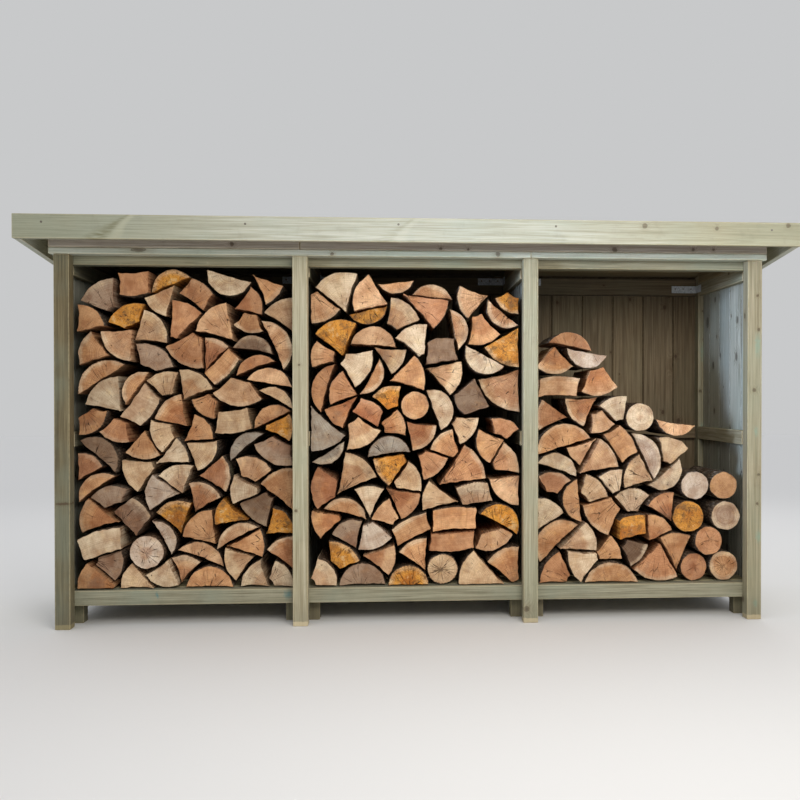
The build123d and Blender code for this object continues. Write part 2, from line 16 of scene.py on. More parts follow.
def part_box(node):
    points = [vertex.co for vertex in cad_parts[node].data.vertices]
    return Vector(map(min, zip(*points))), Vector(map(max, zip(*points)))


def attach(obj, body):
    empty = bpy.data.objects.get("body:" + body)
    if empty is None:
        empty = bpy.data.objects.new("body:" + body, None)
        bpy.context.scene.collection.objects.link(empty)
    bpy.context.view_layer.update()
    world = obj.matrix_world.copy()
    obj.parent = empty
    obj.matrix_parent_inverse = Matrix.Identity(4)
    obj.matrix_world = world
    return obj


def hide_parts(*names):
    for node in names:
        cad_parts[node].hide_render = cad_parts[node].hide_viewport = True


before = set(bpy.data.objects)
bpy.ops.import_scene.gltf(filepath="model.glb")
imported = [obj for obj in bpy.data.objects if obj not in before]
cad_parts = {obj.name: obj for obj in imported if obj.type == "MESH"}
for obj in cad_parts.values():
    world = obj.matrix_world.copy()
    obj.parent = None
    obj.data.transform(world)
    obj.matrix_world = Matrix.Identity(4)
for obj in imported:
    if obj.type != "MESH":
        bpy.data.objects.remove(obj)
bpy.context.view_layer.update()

LOG = logging.getLogger("log_store")
BODY = "root"
ROOF_PITCH = math.radians(5.3)
WELD = 1e-5
FLAT = math.radians(1.0)
SKIN = 0.0003
FAR_AWAY = 99.0
NO_RIM = 1.0
SIDES = (("left", -1), ("right", 1))

Socket = bpy.types.NodeSocket
Sockets = dict[str, Socket]
Material = bpy.types.Material
Solid = bmesh.types.BMesh
Tree = bpy.types.NodeTree
Pair = tuple[float, float]
Triple = tuple[float, float, float]
Faces = list[list[int]]


class Slot(Enum):
    """Material slots of the record."""

    FRAME = "frame_timber"
    BEARER = "bearer_timber"
    ROOF = "roof_timber"
    WALL = "wall_boards"
    FLOOR = "floor_timber"
    FIREWOOD = "split_firewood"
    STEEL = "galvanised_steel"


class LogFace(Enum):
    """Kinds of face on a split log, in the order of its finishes."""

    SAWN = 0
    CLEFT = 1
    BARK = 2


class Blend(Enum):
    """How a coat of colour joins what lies under it."""

    COVER = "MIX"
    STAIN = "MULTIPLY"
    SOFT = "SOFT_LIGHT"


class Coat(NamedTuple):
    """A coat of colour: where it lies, its tint, how strong it is, and how it joins."""

    mask: Socket | float
    tint: Socket | str
    share: float = 1.0
    way: Blend = Blend.COVER


def paint(code: str) -> tuple[float, float, float, float]:
    """Turn a display colour into the linear colour that shaders use.

    Args:
        code: The colour as six hexadecimal digits.

    Returns:
        Red, green, blue and a full alpha.
    """
    values = [int(code[i : i + 2], 16) / 255 for i in (0, 2, 4)]
    linear = [v / 12.92 if v <= 0.04045 else ((v + 0.055) / 1.055) ** 2.4 for v in values]
    return (*linear, 1.0)


class Wiring:
    """Short calls that add and join the nodes of one shader tree."""

    def __init__(self, tree: Tree) -> None:
        """Keep the tree that the nodes go into."""
        self.tree = tree

    @classmethod
    def fresh(cls, owner: Material | bpy.types.World) -> "Wiring":
        """Start with no nodes.

        Args:
            owner: The material or world that the nodes are for.

        Returns:
            Its wiring.
        """
        owner.use_nodes = True
        owner.node_tree.nodes.clear()
        return cls(owner.node_tree)

    def feed(self, socket: Socket, value: object) -> None:
        """Join an output to a socket, or set the socket's own value.

        Args:
            socket: The input to feed.
            value: An output, a number, a vector, or a colour's six hexadecimal digits.
        """
        if isinstance(value, Socket):
            self.tree.links.new(value, socket)
        else:
            socket.default_value = paint(value) if isinstance(value, str) else value

    def add(self, kind: str, inputs: dict | None = None, **settings: object) -> bpy.types.Node:
        """Add one node.

        Args:
            kind: The node's type after the prefix ShaderNode.
            inputs: What goes into its inputs, by name or number.
            **settings: Properties of the node itself.

        Returns:
            The new node.
        """
        node = self.tree.nodes.new("ShaderNode" + kind)
        for name, value in settings.items():
            setattr(node, name, value)
        for key, value in (inputs or {}).items():
            self.feed(node.inputs[key], value)
        return node

    def math(self, operation: str, *values: object) -> Socket:
        """Add a Math node and give its result."""
        return self.add("Math", dict(enumerate(values)), operation=operation).outputs[0]

    def plus(self, a: object, b: object) -> Socket:
        """Add two values."""
        return self.math("ADD", a, b)

    def times(self, a: object, b: object) -> Socket:
        """Multiply two values."""
        return self.math("MULTIPLY", a, b)

    def scaled(self, value: object, factor: object, shift: object) -> Socket:
        """Multiply a value and then shift it."""
        return self.math("MULTIPLY_ADD", value, factor, shift)

    def vector(self, operation: str, *vectors: object) -> Socket:
        """Add a Vector Math node and give its vector or length."""
        node = self.add("VectorMath", dict(enumerate(vectors)), operation=operation)
        return node.outputs["Value" if operation == "LENGTH" else "Vector"]

    def shifted(self, at: object, by: object, stretch: Triple) -> Socket:
        """Shift a place by a vector, which is stretched first."""
        return self.vector("ADD", at, self.vector("MULTIPLY", by, stretch))

    def ease(self, value: object, low: float, high: float, start: float = 0.0, stop: float = 1.0) -> Socket:
        """Map a value smoothly from the span low to high onto start to stop, and hold it there."""
        spans = {"Value": value, "From Min": low, "From Max": high, "To Min": start, "To Max": stop}
        return self.add("MapRange", spans, interpolation_type="SMOOTHSTEP").outputs["Result"]

    def fade(self, value: object, low: float, high: float) -> Socket:
        """Give 1 below a span and 0 above it."""
        return self.ease(value, low, high, 1.0, 0.0)

    def noise(
        self, at: object, scale: float, detail: float = 3.0, rough: float = 0.55, give: int = 0
    ) -> Socket:
        """Add a noise texture and give its value, or its colour where give is 1."""
        inputs = {"Vector": at, "Scale": scale, "Detail": detail, "Roughness": rough}
        return self.add("TexNoise", inputs).outputs[give]

    def jittered(self, at: Socket, scale: float, detail: float, reach: Triple) -> Socket:
        """Shift a place to and fro by a noise, as far as the reach on each axis."""
        colour = self.noise(at, scale, detail, 0.5, 1)
        return self.shifted(at, self.vector("SUBTRACT", colour, (0.5, 0.5, 0.5)), reach)

    def parts(self, vector: object) -> list[Socket]:
        """Split a vector into its three values."""
        return list(self.add("SeparateXYZ", {0: vector}).outputs)

    def join(self, x: object, y: object, z: object) -> Socket:
        """Make a vector of three values."""
        return self.add("CombineXYZ", {0: x, 1: y, 2: z}).outputs[0]

    def where(self) -> Socket:
        """Give the place on the store."""
        return self.add("TexCoord").outputs["Object"]

    def attribute(self, name: str, output: str = "Vector") -> Socket:
        """Give one of the mesh's own attributes."""
        return self.add("Attribute", attribute_name=name).outputs[output]

    def group(self, tree: Tree, **inputs: object) -> Sockets:
        """Place a node group.

        Args:
            tree: The group's tree.
            **inputs: What goes into its named inputs.

        Returns:
            Its outputs by name.
        """
        node = self.add("Group", node_tree=tree)
        for name, value in inputs.items():
            self.feed(node.inputs[name], value)
        return {socket.name: socket for socket in node.outputs}

    def coat(self, colour: Socket | str, *coats: Coat) -> Socket:
        """Lay coats of colour over one another.

        Args:
            colour: What lies under them.
            *coats: The coats, the lowest first.

        Returns:
            The colour on top.
        """
        for mask, tint, share, way in coats:
            inputs = {"Factor": mask if share == 1.0 else self.times(mask, share), "A": colour, "B": tint}
            colour = self.add("Mix", inputs, data_type="RGBA", blend_type=way.value).outputs["Result"]
        return colour

    def surface(
        self, colour: Socket, rough: Socket, height: Socket, bump: Pair, specular: float = 0.5,
        metal: Socket | float = 0.0,
    ) -> None:
        """Join the shader and the output.

        Args:
            colour: The base colour.
            rough: The roughness.
            height: The relief's height.
            bump: The relief's strength and its distance in metres.
            specular: The shader's specular level.
            metal: How metallic the surface is.
        """
        relief = self.add("Bump", {"Strength": bump[0], "Distance": bump[1], "Height": height})
        inputs = {"Base Color": colour, "Roughness": rough, "Metallic": metal, "Specular IOR Level": specular}
        shader = self.add("BsdfPrincipled", inputs | {"Normal": relief.outputs[0]})
        self.add("OutputMaterial", {"Surface": shader.outputs[0]})


class Effects:
    """Shader node groups that several finishes share."""

    def __init__(self) -> None:
        """Build each group once."""
        own = ("Place", "Tone")
        self.board_faces = self.make("board_faces", ("Place", "Half", "Wander"), self.faces_of)
        self.knots = self.make("knots", (*own, "Count", "Size", "Share", "Set"), self.knots_of)
        self.rings = self.make("growth_rings", (*own, "Lift", "Spacing", "Pith", "Wander"), self.rings_of)
        self.fibres = self.make("fibres", (*own, "Fineness"), self.fibres_of)
        self.weather = self.make("weather", ("Tone",), self.weather_of)

    @staticmethod
    def make(name: str, inputs: tuple[str, ...], effect: Callable[[Wiring, Sockets], Sockets]) -> Tree:
        """Build one group.

        Args:
            name: The group's name.
            inputs: Its inputs, of which place, half and tone are vectors, and the others numbers.
            effect: What wires its inputs to its outputs.

        Returns:
            The group's tree.
        """
        tree = bpy.data.node_groups.new(name, "ShaderNodeTree")
        for title in inputs:
            kind = "Vector" if title in ("Place", "Half", "Tone") else "Float"
            tree.interface.new_socket(title, in_out="INPUT", socket_type="NodeSocket" + kind)
        w = Wiring(tree)
        results = effect(w, {socket.name: socket for socket in tree.nodes.new("NodeGroupInput").outputs})
        for title in results:
            tree.interface.new_socket(title, in_out="OUTPUT", socket_type="NodeSocketFloat")
        sink = tree.nodes.new("NodeGroupOutput")
        for title, value in results.items():
            w.feed(sink.inputs[title], value)
        return tree

    @staticmethod
    def faces_of(w: Wiring, given: Sockets) -> Sockets:
        """Mask a squared timber's arrises and sawn ends.

        Args:
            w: The group's wiring.
            given: Its inputs.

        Returns:
            Its outputs.
        """
        x, y, z = w.parts(w.vector("SUBTRACT", given["Half"], w.vector("ABSOLUTE", given["Place"])))
        least, most = w.math("MINIMUM", x, y), w.math("MAXIMUM", x, y)
        median = w.math("MAXIMUM", least, w.math("MINIMUM", most, z))
        reach = w.scaled(w.plus(w.noise(given["Place"], 90.0, 4.0), -0.5), given["Wander"], median)
        return {"Arris": w.fade(reach, 0.0004, 0.0042), "End": w.fade(z, 0.0006, 0.0014)}

    @staticmethod
    def knots_of(w: Wiring, given: Sockets) -> Sockets:
        """Strew round knots over a timber, with a dark ring and a lift that bends the grain.

        Args:
            w: The group's wiring.
            given: Its inputs.

        Returns:
            Its outputs.
        """
        dx, dz, _ = w.parts(w.noise(given["Place"], 75.0, 2.0, 0.5, 1))
        x, y, z = w.parts(given["Place"])
        a, b, _ = w.parts(given["Tone"])
        across = w.scaled(dx, 0.006, w.scaled(y, 0.3, x))
        along = w.scaled(dz, 0.006, w.times(z, 0.75))
        spot = w.join(w.scaled(a, 7.0, across), w.scaled(b, 9.0, along), 0.0)
        cell = w.add("TexVoronoi", {"Vector": spot, "Scale": given["Count"]}, voronoi_dimensions="2D").outputs
        own, chosen, _ = w.parts(cell["Color"])
        size = w.times(given["Size"], w.scaled(w.times(own, own), 0.95, 0.22))
        size = w.times(size, w.math("LESS_THAN", chosen, given["Share"]))
        away = w.math("DIVIDE", cell["Distance"], given["Count"])
        ratio = w.math("DIVIDE", away, w.math("MAXIMUM", size, 0.0001))
        ratio = w.math("MINIMUM", ratio, given["Set"])
        return {
            "Knot": w.fade(ratio, 0.55, 1.1),
            "Ring": w.fade(w.math("ABSOLUTE", w.plus(ratio, -0.93)), 0.04, 0.2),
            "Halo": w.fade(ratio, 0.9, 3.2),
            "Lift": w.times(w.fade(ratio, 0.3, 4.0), given["Size"]),
        }

    @staticmethod
    def rings_of(w: Wiring, given: Sockets) -> Sockets:
        """Draw growth rings round a timber's pith: bands on its faces and arcs on its ends.

        Args:
            w: The group's wiring.
            given: Its inputs.

        Returns:
            Its outputs.
        """
        x, y, z = w.parts(given["Place"])
        a, b, c = w.parts(given["Tone"])
        across = w.times(given["Pith"], w.scaled(a, 2.6, -1.3))
        far = w.times(given["Pith"], w.scaled(b, 1.2, 0.4))
        lean = w.times(z, w.scaled(c, 0.05, -0.025))
        along = w.scaled(c, 20.0, w.times(z, 0.14))
        bend = w.times(w.plus(w.noise(w.join(x, y, along), 14.0, 2.0, 0.5), -0.5), given["Wander"])
        px = w.plus(w.plus(x, across), bend)
        py = w.plus(w.plus(y, far), lean)
        radius = w.plus(w.vector("LENGTH", w.join(px, py, 0.0)), given["Lift"])
        count = w.math("DIVIDE", radius, given["Spacing"])
        turn = w.math("FRACT", w.scaled(w.noise(w.join(count, 0.0, 0.0), 0.7, 1.0), 2.4, count))
        late = w.times(w.ease(turn, 0.25, 0.86), w.fade(turn, 0.9, 1.0))
        return {"Ring": late, "Zone": w.noise(w.join(radius, along, 0.0), 55.0, 2.0)}

    @staticmethod
    def fibres_of(w: Wiring, given: Sockets) -> Sockets:
        """Draw fine fibres, thin lines and broad streaks along a timber.

        Args:
            w: The group's wiring.
            given: Its inputs.

        Returns:
            Its outputs.
        """
        x, y, z = w.parts(given["Place"])
        _, _, c = w.parts(given["Tone"])
        spot = w.join(x, y, w.scaled(c, 31.0, w.times(z, 0.022)))
        return {
            "Fibre": w.ease(w.noise(spot, given["Fineness"], 4.0, 0.65), 0.3, 0.7),
            "Line": w.ease(w.noise(spot, 250.0, 2.0), 0.4, 0.64),
            "Streak": w.ease(w.noise(spot, 120.0, 3.0), 0.34, 0.68),
        }

    @staticmethod
    def weather_of(w: Wiring, given: Sockets) -> Sockets:
        """Spread patches of treatment, splash near the ground, and grime.

        Args:
            w: The group's wiring.
            given: Its inputs.

        Returns:
            Its outputs.
        """
        where = w.where()
        spot = w.shifted(where, given["Tone"], (5.0, 5.0, 5.0))
        _, _, z = w.parts(where)
        return {
            "Patch": w.ease(w.noise(spot, 3.4, 4.0), 0.42, 0.66),
            "Splash": w.fade(w.plus(z, w.times(w.noise(spot, 16.0, 4.0), 0.16)), 0.05, 0.21),
            "Grime": w.ease(w.noise(spot, 24.0, 6.0, 0.7), 0.52, 0.78),
        }


@dataclass(frozen=True)
class Finish:
    """A material made of nodes."""

    name: str

    def wire(self, w: Wiring, effects: Effects) -> None:
        """Wire the material's nodes."""
        raise NotImplementedError

    def build(self, effects: Effects) -> Material:
        """Make the material.

        Args:
            effects: The shared node groups.

        Returns:
            The material.
        """
        material = bpy.data.materials.new(self.name)
        self.wire(Wiring.fresh(material), effects)
        return material


class Mark(NamedTuple):
    """A knot or a stain at a set place on the store's front, in metres."""

    x: float
    z: float
    size: float
    stretch: float = 1.0


@dataclass(frozen=True)
class TreatedTimber(Finish):
    """Planed softwood after pressure treatment."""

    pale: str
    mid: str
    late: str
    patch: str
    knot: str
    cut_end: str
    patch_share: float = 0.5
    ring_share: float = 0.35
    ring_spacing: float = 0.0034
    pith: float = 0.05
    knot_count: float = 9.0
    knot_size: float = 0.009
    knot_share: float = 0.3
    set_knots: tuple[Mark, ...] = ()
    stains: tuple[Mark, ...] = ()
    stain: str = "4c8a8c"
    arris: str = "d8caa2"
    arris_share: float = 0.3
    grime: str = "4a4436"
    mud: str = "5b5444"
    warmth: str = "e6d2a8"
    wobble: Triple = (0.006, 0.0, 0.006)
    foot: float = 0.016
    foot_edge: float = 0.003
    foot_share: float = 0.0
    spread: float = 0.2
    splash: float = 0.35
    roughness: float = 0.68

    @staticmethod
    def nearest(w: Wiring, where: Socket, marks: tuple[Mark, ...]) -> Socket | float:
        """Distance from the nearest set mark, in its own radii.

        Args:
            w: The material's wiring.
            where: The place on the store.
            marks: The marks.

        Returns:
            The distance's socket, or a large number where there are no marks.
        """
        least = FAR_AWAY
        for mark in marks:
            offset = w.vector("SUBTRACT", where, (mark.x, 0.0, mark.z))
            radii = w.vector("MULTIPLY", offset, (1 / (mark.size * mark.stretch), 0.0, 1 / mark.size))
            least = w.math("MINIMUM", w.vector("LENGTH", radii), least)
        return least

    def figure(self, w: Wiring, where: Socket, colour: Socket) -> Socket:
        """Add the stains that one timber has at set places.

        Args:
            w: The material's wiring.
            where: The place on the store.
            colour: The colour so far.

        Returns:
            The colour with its stains.
        """
        if not self.stains:
            return colour
        reach = w.scaled(w.noise(where, 120.0, 3.0), 1.2, self.nearest(w, where, self.stains))
        return w.coat(colour, Coat(w.fade(reach, 0.6, 1.6), self.stain, 0.72))

    def wire(self, w: Wiring, effects: Effects) -> None:
        """Wire the grain, and over it knots, ends, arrises and weather.

        Args:
            w: The material's wiring.
            effects: The shared node groups.
        """
        place, tone = w.attribute("place"), w.attribute("tone")
        own = {"Place": place, "Tone": tone}
        where = w.jittered(w.where(), 90.0, 2.0, self.wobble)
        faces = w.group(effects.board_faces, Place=place, Half=w.attribute("half"), Wander=0.004)
        marks = self.nearest(w, where, self.set_knots)
        knots = w.group(
            effects.knots, **own, Count=self.knot_count, Size=self.knot_size, Share=self.knot_share, Set=marks
        )
        rings = w.group(
            effects.rings, **own, Lift=knots["Lift"], Spacing=self.ring_spacing, Pith=self.pith, Wander=0.014
        )
        fibres = w.group(effects.fibres, **own, Fineness=520.0)
        weather = w.group(effects.weather, Tone=tone)
        a, b, _ = w.parts(tone)
        _, _, height = w.parts(where)

        ring = w.times(rings["Ring"], w.scaled(rings["Zone"], self.ring_share, self.ring_share * 0.5))
        colour = w.coat(
            self.pale,
            Coat(fibres["Streak"], self.mid, 0.8),
            Coat(ring, self.late),
            Coat(fibres["Line"], self.mid, 0.42, Blend.STAIN),
            Coat(weather["Patch"], self.patch, self.patch_share),
        )
        core = w.coat(self.knot, Coat(rings["Ring"], self.late, 0.4))
        end = w.coat(self.cut_end, Coat(ring, self.late))
        board = w.scaled(b, self.spread, 1.0 - self.spread * 0.6)
        colour = w.coat(
            self.figure(w, where, colour),
            Coat(knots["Halo"], self.late, 0.32),
            Coat(knots["Knot"], core, 0.72),
            Coat(knots["Ring"], self.knot, 0.55),
            Coat(fibres["Fibre"], self.late, 0.2, Blend.STAIN),
            Coat(faces["End"], end, 0.7),
            Coat(faces["Arris"], self.arris, self.arris_share),
            Coat(weather["Grime"], self.grime, 0.16),
            Coat(weather["Splash"], self.mud, self.splash),
            Coat(w.fade(height, self.foot - self.foot_edge, self.foot), self.cut_end, self.foot_share),
            Coat(1.0, w.join(board, board, board), way=Blend.STAIN),
            Coat(a, self.warmth, 0.22, Blend.STAIN),
        )
        relief = w.scaled(fibres["Fibre"], 0.35, w.times(rings["Ring"], 0.45))
        relief = w.scaled(knots["Ring"], -0.9, relief)
        rough = w.ease(fibres["Fibre"], 0.0, 1.0, self.roughness - 0.09, self.roughness + 0.1)
        w.surface(colour, rough, relief, (0.55, 0.0007), 0.35)


@dataclass(frozen=True)
class FasciaTimber(TreatedTimber):
    """The fascia's board, with painted shade darkening it towards its left end and a warmer painted shade
    towards its right end, and the slanting figures that branches leave.
    """

    branches: tuple[Triple, ...] = ((-0.8975, 1.134, 1.0), (-0.098, 1.128, 0.4))
    slant: float = math.radians(37.0)
    length: float = 0.1
    width: float = 0.024
    streak: str = "84805a"
    glow: str = "e6e4d0"
    # painted shade: tints that darken the board towards its left end and, warmer, towards its right end
    left_painted_shade: str = "dadbd0"
    right_painted_shade: str = "ebe4d2"

    def figure(self, w: Wiring, where: Socket, colour: Socket) -> Socket:
        """Add the slanting figures, and the painted shade that darkens the board towards its left end and,
        warmer, towards its right end.

        Args:
            w: The material's wiring.
            where: The place on the store.
            colour: The colour so far.

        Returns:
            The colour with the figures.
        """
        cos, sin = math.cos(self.slant), math.sin(self.slant)
        steady = w.where()
        combs = w.ease(w.noise(w.vector("MULTIPLY", steady, (26.0, 0.0, 300.0)), 1.0, 1.0), 0.3, 0.62)
        for low_x, low_z, share in self.branches:
            x, _, z = w.parts(w.vector("SUBTRACT", where, (low_x, 0.0, low_z)))
            along = w.scaled(x, cos, w.times(z, sin))
            off = w.scaled(z, cos, w.times(x, -sin))
            ratio = w.math("DIVIDE", off, w.ease(along, -0.02, self.length, self.width, self.width * 0.2))
            body = w.times(w.fade(w.math("ABSOLUTE", ratio), 0.1, 1.25), combs)
            paler = w.fade(w.math("ABSOLUTE", w.plus(ratio, 2.0)), 0.0, 2.4)
            coats = Coat(paler, self.glow, 0.4 * share), Coat(body, self.streak, 0.66 * share)
            colour = w.coat(colour, *coats)
        x, _, _ = w.parts(steady)
        # painted shade: the board is darkened towards its left end, and warmed and darkened towards its right
        # end
        left = Coat(w.fade(x, -1.1, -0.3), self.left_painted_shade, way=Blend.STAIN)
        return w.coat(colour, left, Coat(w.ease(x, 0.3, 1.0), self.right_painted_shade, way=Blend.STAIN))


@dataclass(frozen=True)
class SawnEnd(Finish):
    """The sawn end of a split log, with rings, drying checks, saw marks and a rim of bark."""

    name: str = "firewood_sawn_end"
    sap: str = "ecd9b8"
    heart: str = "d2a588"
    cloud: str = "b08d72"
    light: str = "f0dfc2"
    late: str = "9c7c62"
    ray: str = "b49a86"
    smudge: str = "7a6452"
    rot: tuple[str, str] = ("e0c592", "7d5c38")
    speck: str = "6e4a2c"
    nap: str = "8f735c"
    kerf: str = "b79c84"
    check: str = "2e1d12"
    soil: str = "6b5240"
    bark: tuple[str, str] = ("533c2c", "8f6d54")
    rim_width: float = 0.0025
    rim_gain: float = 2.3
    ring_tone: Triple = (0.5, -0.3333, 0.5)
    ring_spacing: float = 0.0034

    def wire(self, w: Wiring, effects: Effects) -> None:
        """Wire the wood's colour from the heart out to the bark.

        Args:
            w: The material's wiring.
            effects: The shared node groups.
        """
        place, tone = w.attribute("place"), w.attribute("tone")
        shade, rim = w.attribute("shade", "Color"), w.attribute("rim", "Fac")
        a, b, c = w.parts(tone)
        x, y, _ = w.parts(place)
        rings = {"Place": place, "Tone": self.ring_tone, "Lift": 0.0, "Spacing": self.ring_spacing}
        rings = w.group(effects.rings, **rings, Pith=0.001, Wander=0.016)
        spot = w.shifted(place, tone, (9.0, 7.0, 5.0))
        mottle = w.noise(spot, 24.0, 5.0, 0.6)
        pale = w.noise(w.vector("ADD", spot, (3.0, 1.0, 2.0)), 38.0, 6.0, 0.65)
        fuzz = w.noise(spot, 460.0, 3.0, 0.7)
        smudge = w.ease(w.noise(spot, 17.0, 6.0, 0.7), 0.5, 0.68)
        rotten = w.noise(w.vector("ADD", spot, (8.0, 4.0, 6.0)), 30.0, 6.0, 0.7)
        decayed = w.ease(w.add("SeparateColor", {0: shade}, mode="HSV").outputs[1], 0.8, 0.83)
        specks = w.ease(w.noise(spot, 150.0, 4.0, 0.75), 0.52, 0.61)
        specks = w.times(specks, w.ease(rotten, 0.42, 0.6, 1.0, 0.25))

        angle, far = w.math("ARCTAN2", y, x), w.vector("LENGTH", w.join(x, y, 0.0))
        fan = w.join(w.times(angle, 4.2), w.times(far, 11.0), w.times(a, 40.0))
        cells = w.add("TexVoronoi", {"Vector": fan, "Scale": 1.0}, feature="DISTANCE_TO_EDGE")
        line = w.fade(w.times(cells.outputs["Distance"], far), 0.0004, 0.0017)
        broken = w.plus(w.noise(w.vector("ADD", fan, (5.0, 2.0, 1.0)), 2.1, 1.0), w.scaled(b, 0.2, -0.14))
        line = w.times(line, w.times(w.ease(broken, 0.52, 0.6), w.ease(rim, 0.004, 0.02)))
        rays = w.noise(w.join(w.times(angle, 30.0), w.times(far, 12.0), a), 1.0, 3.0)
        turn = w.times(b, 6.28)
        saw = w.plus(w.times(x, w.math("COSINE", turn)), w.times(y, w.math("SINE", turn)))
        marks = w.noise(w.join(saw, w.times(a, 9.0), 0.0), 620.0, 2.0)

        inward = w.scaled(mottle, 0.03, w.plus(rim, -0.015))
        sapwood = w.times(w.fade(inward, 0.008, 0.02), w.ease(c, 0.3, 0.8))
        heart = w.times(w.ease(inward, 0.026, 0.042), w.ease(a, 0.35, 0.9))
        soil = w.fade(w.plus(rim, w.times(pale, 0.006)), 0.004, 0.011)
        thickness = w.ease(b, 0.5, 1.0, self.rim_width, self.rim_width * self.rim_gain)
        inner = w.plus(rim, w.scaled(fuzz, 0.0026, w.times(pale, 0.003)))
        edge = w.fade(w.math("DIVIDE", inner, thickness), 1.35, 1.5)
        colour = w.coat(
            shade,
            Coat(sapwood, self.sap, 0.55),
            Coat(heart, self.heart, 0.5, Blend.STAIN),
            Coat(w.ease(mottle, 0.32, 0.7), self.cloud, 0.62, Blend.STAIN),
            Coat(w.ease(pale, 0.5, 0.72), self.light, 0.5, Blend.SOFT),
            Coat(w.times(rings["Ring"], w.scaled(c, 0.3, 0.14)), self.late, way=Blend.STAIN),
            Coat(w.ease(rays, 0.4, 0.72), self.ray, 0.3, Blend.STAIN),
            Coat(w.times(smudge, w.scaled(a, 0.42, 0.12)), self.smudge),
            Coat(w.times(w.ease(rotten, 0.56, 0.66), decayed), self.rot[0], 0.5),
            Coat(w.times(w.fade(rotten, 0.36, 0.51), decayed), self.rot[1], 0.85),
            Coat(w.times(specks, w.scaled(decayed, 0.78, 0.16)), self.speck),
            Coat(w.ease(fuzz, 0.5, 0.75), self.nap, 0.34, Blend.STAIN),
            Coat(w.ease(marks, 0.45, 0.7), self.kerf, 0.2, Blend.STAIN),
            Coat(line, self.check, 0.85),
            Coat(soil, self.soil, 0.34),
            Coat(edge, w.coat(self.bark[0], Coat(w.ease(fuzz, 0.35, 0.65), self.bark[1]))),
        )
        height = w.scaled(pale, 0.8, w.scaled(fuzz, 0.6, w.times(marks, 0.5)))
        height = w.scaled(edge, -0.8, w.scaled(line, -2.6, height))
        w.surface(colour, w.ease(fuzz, 0.3, 0.7, 0.74, 0.92), height, (0.75, 0.0011), 0.2)


@dataclass(frozen=True)
class CleftFace(Finish):
    """The torn face of a split log, with fibres along its length."""

    name: str = "firewood_cleft_face"
    streak: str = "a8856a"
    cloud: str = "b49077"
    fibre: str = "7d6250"

    def wire(self, w: Wiring, effects: Effects) -> None:
        """Wire the torn wood's streaks and fibres.

        Args:
            w: The material's wiring.
            effects: The shared node groups.
        """
        place, tone = w.attribute("place"), w.attribute("tone")
        fibres = w.group(effects.fibres, Place=place, Tone=tone, Fineness=340.0)
        mottle = w.noise(w.shifted(place, tone, (4.0, 8.0, 6.0)), 20.0, 4.0)
        colour = w.coat(
            w.attribute("shade", "Color"),
            Coat(w.ease(fibres["Streak"], 0.0, 1.0, 0.1, 0.75), self.streak, way=Blend.STAIN),
            Coat(w.ease(mottle, 0.4, 0.7), self.cloud, 0.5, Blend.STAIN),
            Coat(w.ease(fibres["Fibre"], 0.0, 1.0), self.fibre, 0.45, Blend.STAIN),
        )
        height = w.scaled(fibres["Fibre"], 0.7, fibres["Streak"])
        w.surface(colour, w.ease(fibres["Fibre"], 0.0, 1.0, 0.72, 0.9), height, (0.8, 0.0016), 0.25)


@dataclass(frozen=True)
class Bark(Finish):
    """Dry bark with ridges along the log and a little algae."""

    name: str = "firewood_bark"
    ridge: str = "84705c"
    furrow: str = "3a2f26"
    grey: str = "908678"
    algae: str = "6b6e50"
    warmth: str = "d9a77e"

    def wire(self, w: Wiring, effects: Effects) -> None:
        """Wire the ridges, furrows and algae.

        Args:
            w: The material's wiring.
            effects: The shared node groups; not used here.
        """
        tone = w.attribute("tone")
        a, _, c = w.parts(tone)
        spot = w.shifted(w.attribute("place"), tone, (6.0, 3.0, 8.0))
        long_way = w.vector("MULTIPLY", w.jittered(spot, 42.0, 3.0, (0.02, 0.02, 0.03)), (1.0, 1.0, 0.17))
        plates = w.add("TexVoronoi", {"Vector": long_way, "Scale": 105.0}, feature="DISTANCE_TO_EDGE")
        furrow = w.fade(plates.outputs["Distance"], 0.02, 0.3)
        skin = w.noise(spot, 180.0, 5.0, 0.65)
        moss = w.times(w.ease(w.noise(spot, 13.0, 4.0), 0.54, 0.7), w.ease(c, 0.5, 0.8))
        colour = w.coat(
            self.ridge,
            Coat(w.ease(w.noise(spot, 24.0), 0.4, 0.64), self.grey),
            Coat(furrow, self.furrow, 0.8),
            Coat(skin, self.furrow, 0.4),
            Coat(moss, self.algae, 0.6),
            Coat(a, self.warmth, 0.5, Blend.STAIN),
        )
        height = w.math("SUBTRACT", w.times(skin, 0.5), furrow)
        w.surface(colour, w.ease(skin, 0.2, 0.8, 0.84, 0.97), height, (0.9, 0.002), 0.15)


@dataclass(frozen=True)
class ZincSteel(Finish):
    """Galvanised steel with a faint spangle, or the duller steel of a nail's head."""

    bright: str
    dull: str
    rust: str
    rust_share: float
    roughness: float
    metal: float = 0.9

    def wire(self, w: Wiring, effects: Effects) -> None:
        """Wire the spangle and the spots of rust.

        Args:
            w: The material's wiring.
            effects: The shared node groups; not used here.
        """
        where = w.where()
        own, _, _ = w.parts(w.add("TexVoronoi", {"Vector": where, "Scale": 210.0}).outputs["Color"])
        spots = w.times(w.ease(w.noise(where, 130.0, 5.0, 0.7), 0.45, 0.62), self.rust_share)
        colour = w.coat(self.bright, Coat(own, self.dull), Coat(spots, self.rust))
        rough = w.ease(own, 0.0, 1.0, self.roughness, self.roughness + 0.16)
        metal = w.ease(spots, 0.0, 1.0, self.metal, 0.2)
        w.surface(colour, rough, w.noise(where, 900.0), (0.3, 0.0002), metal=metal)


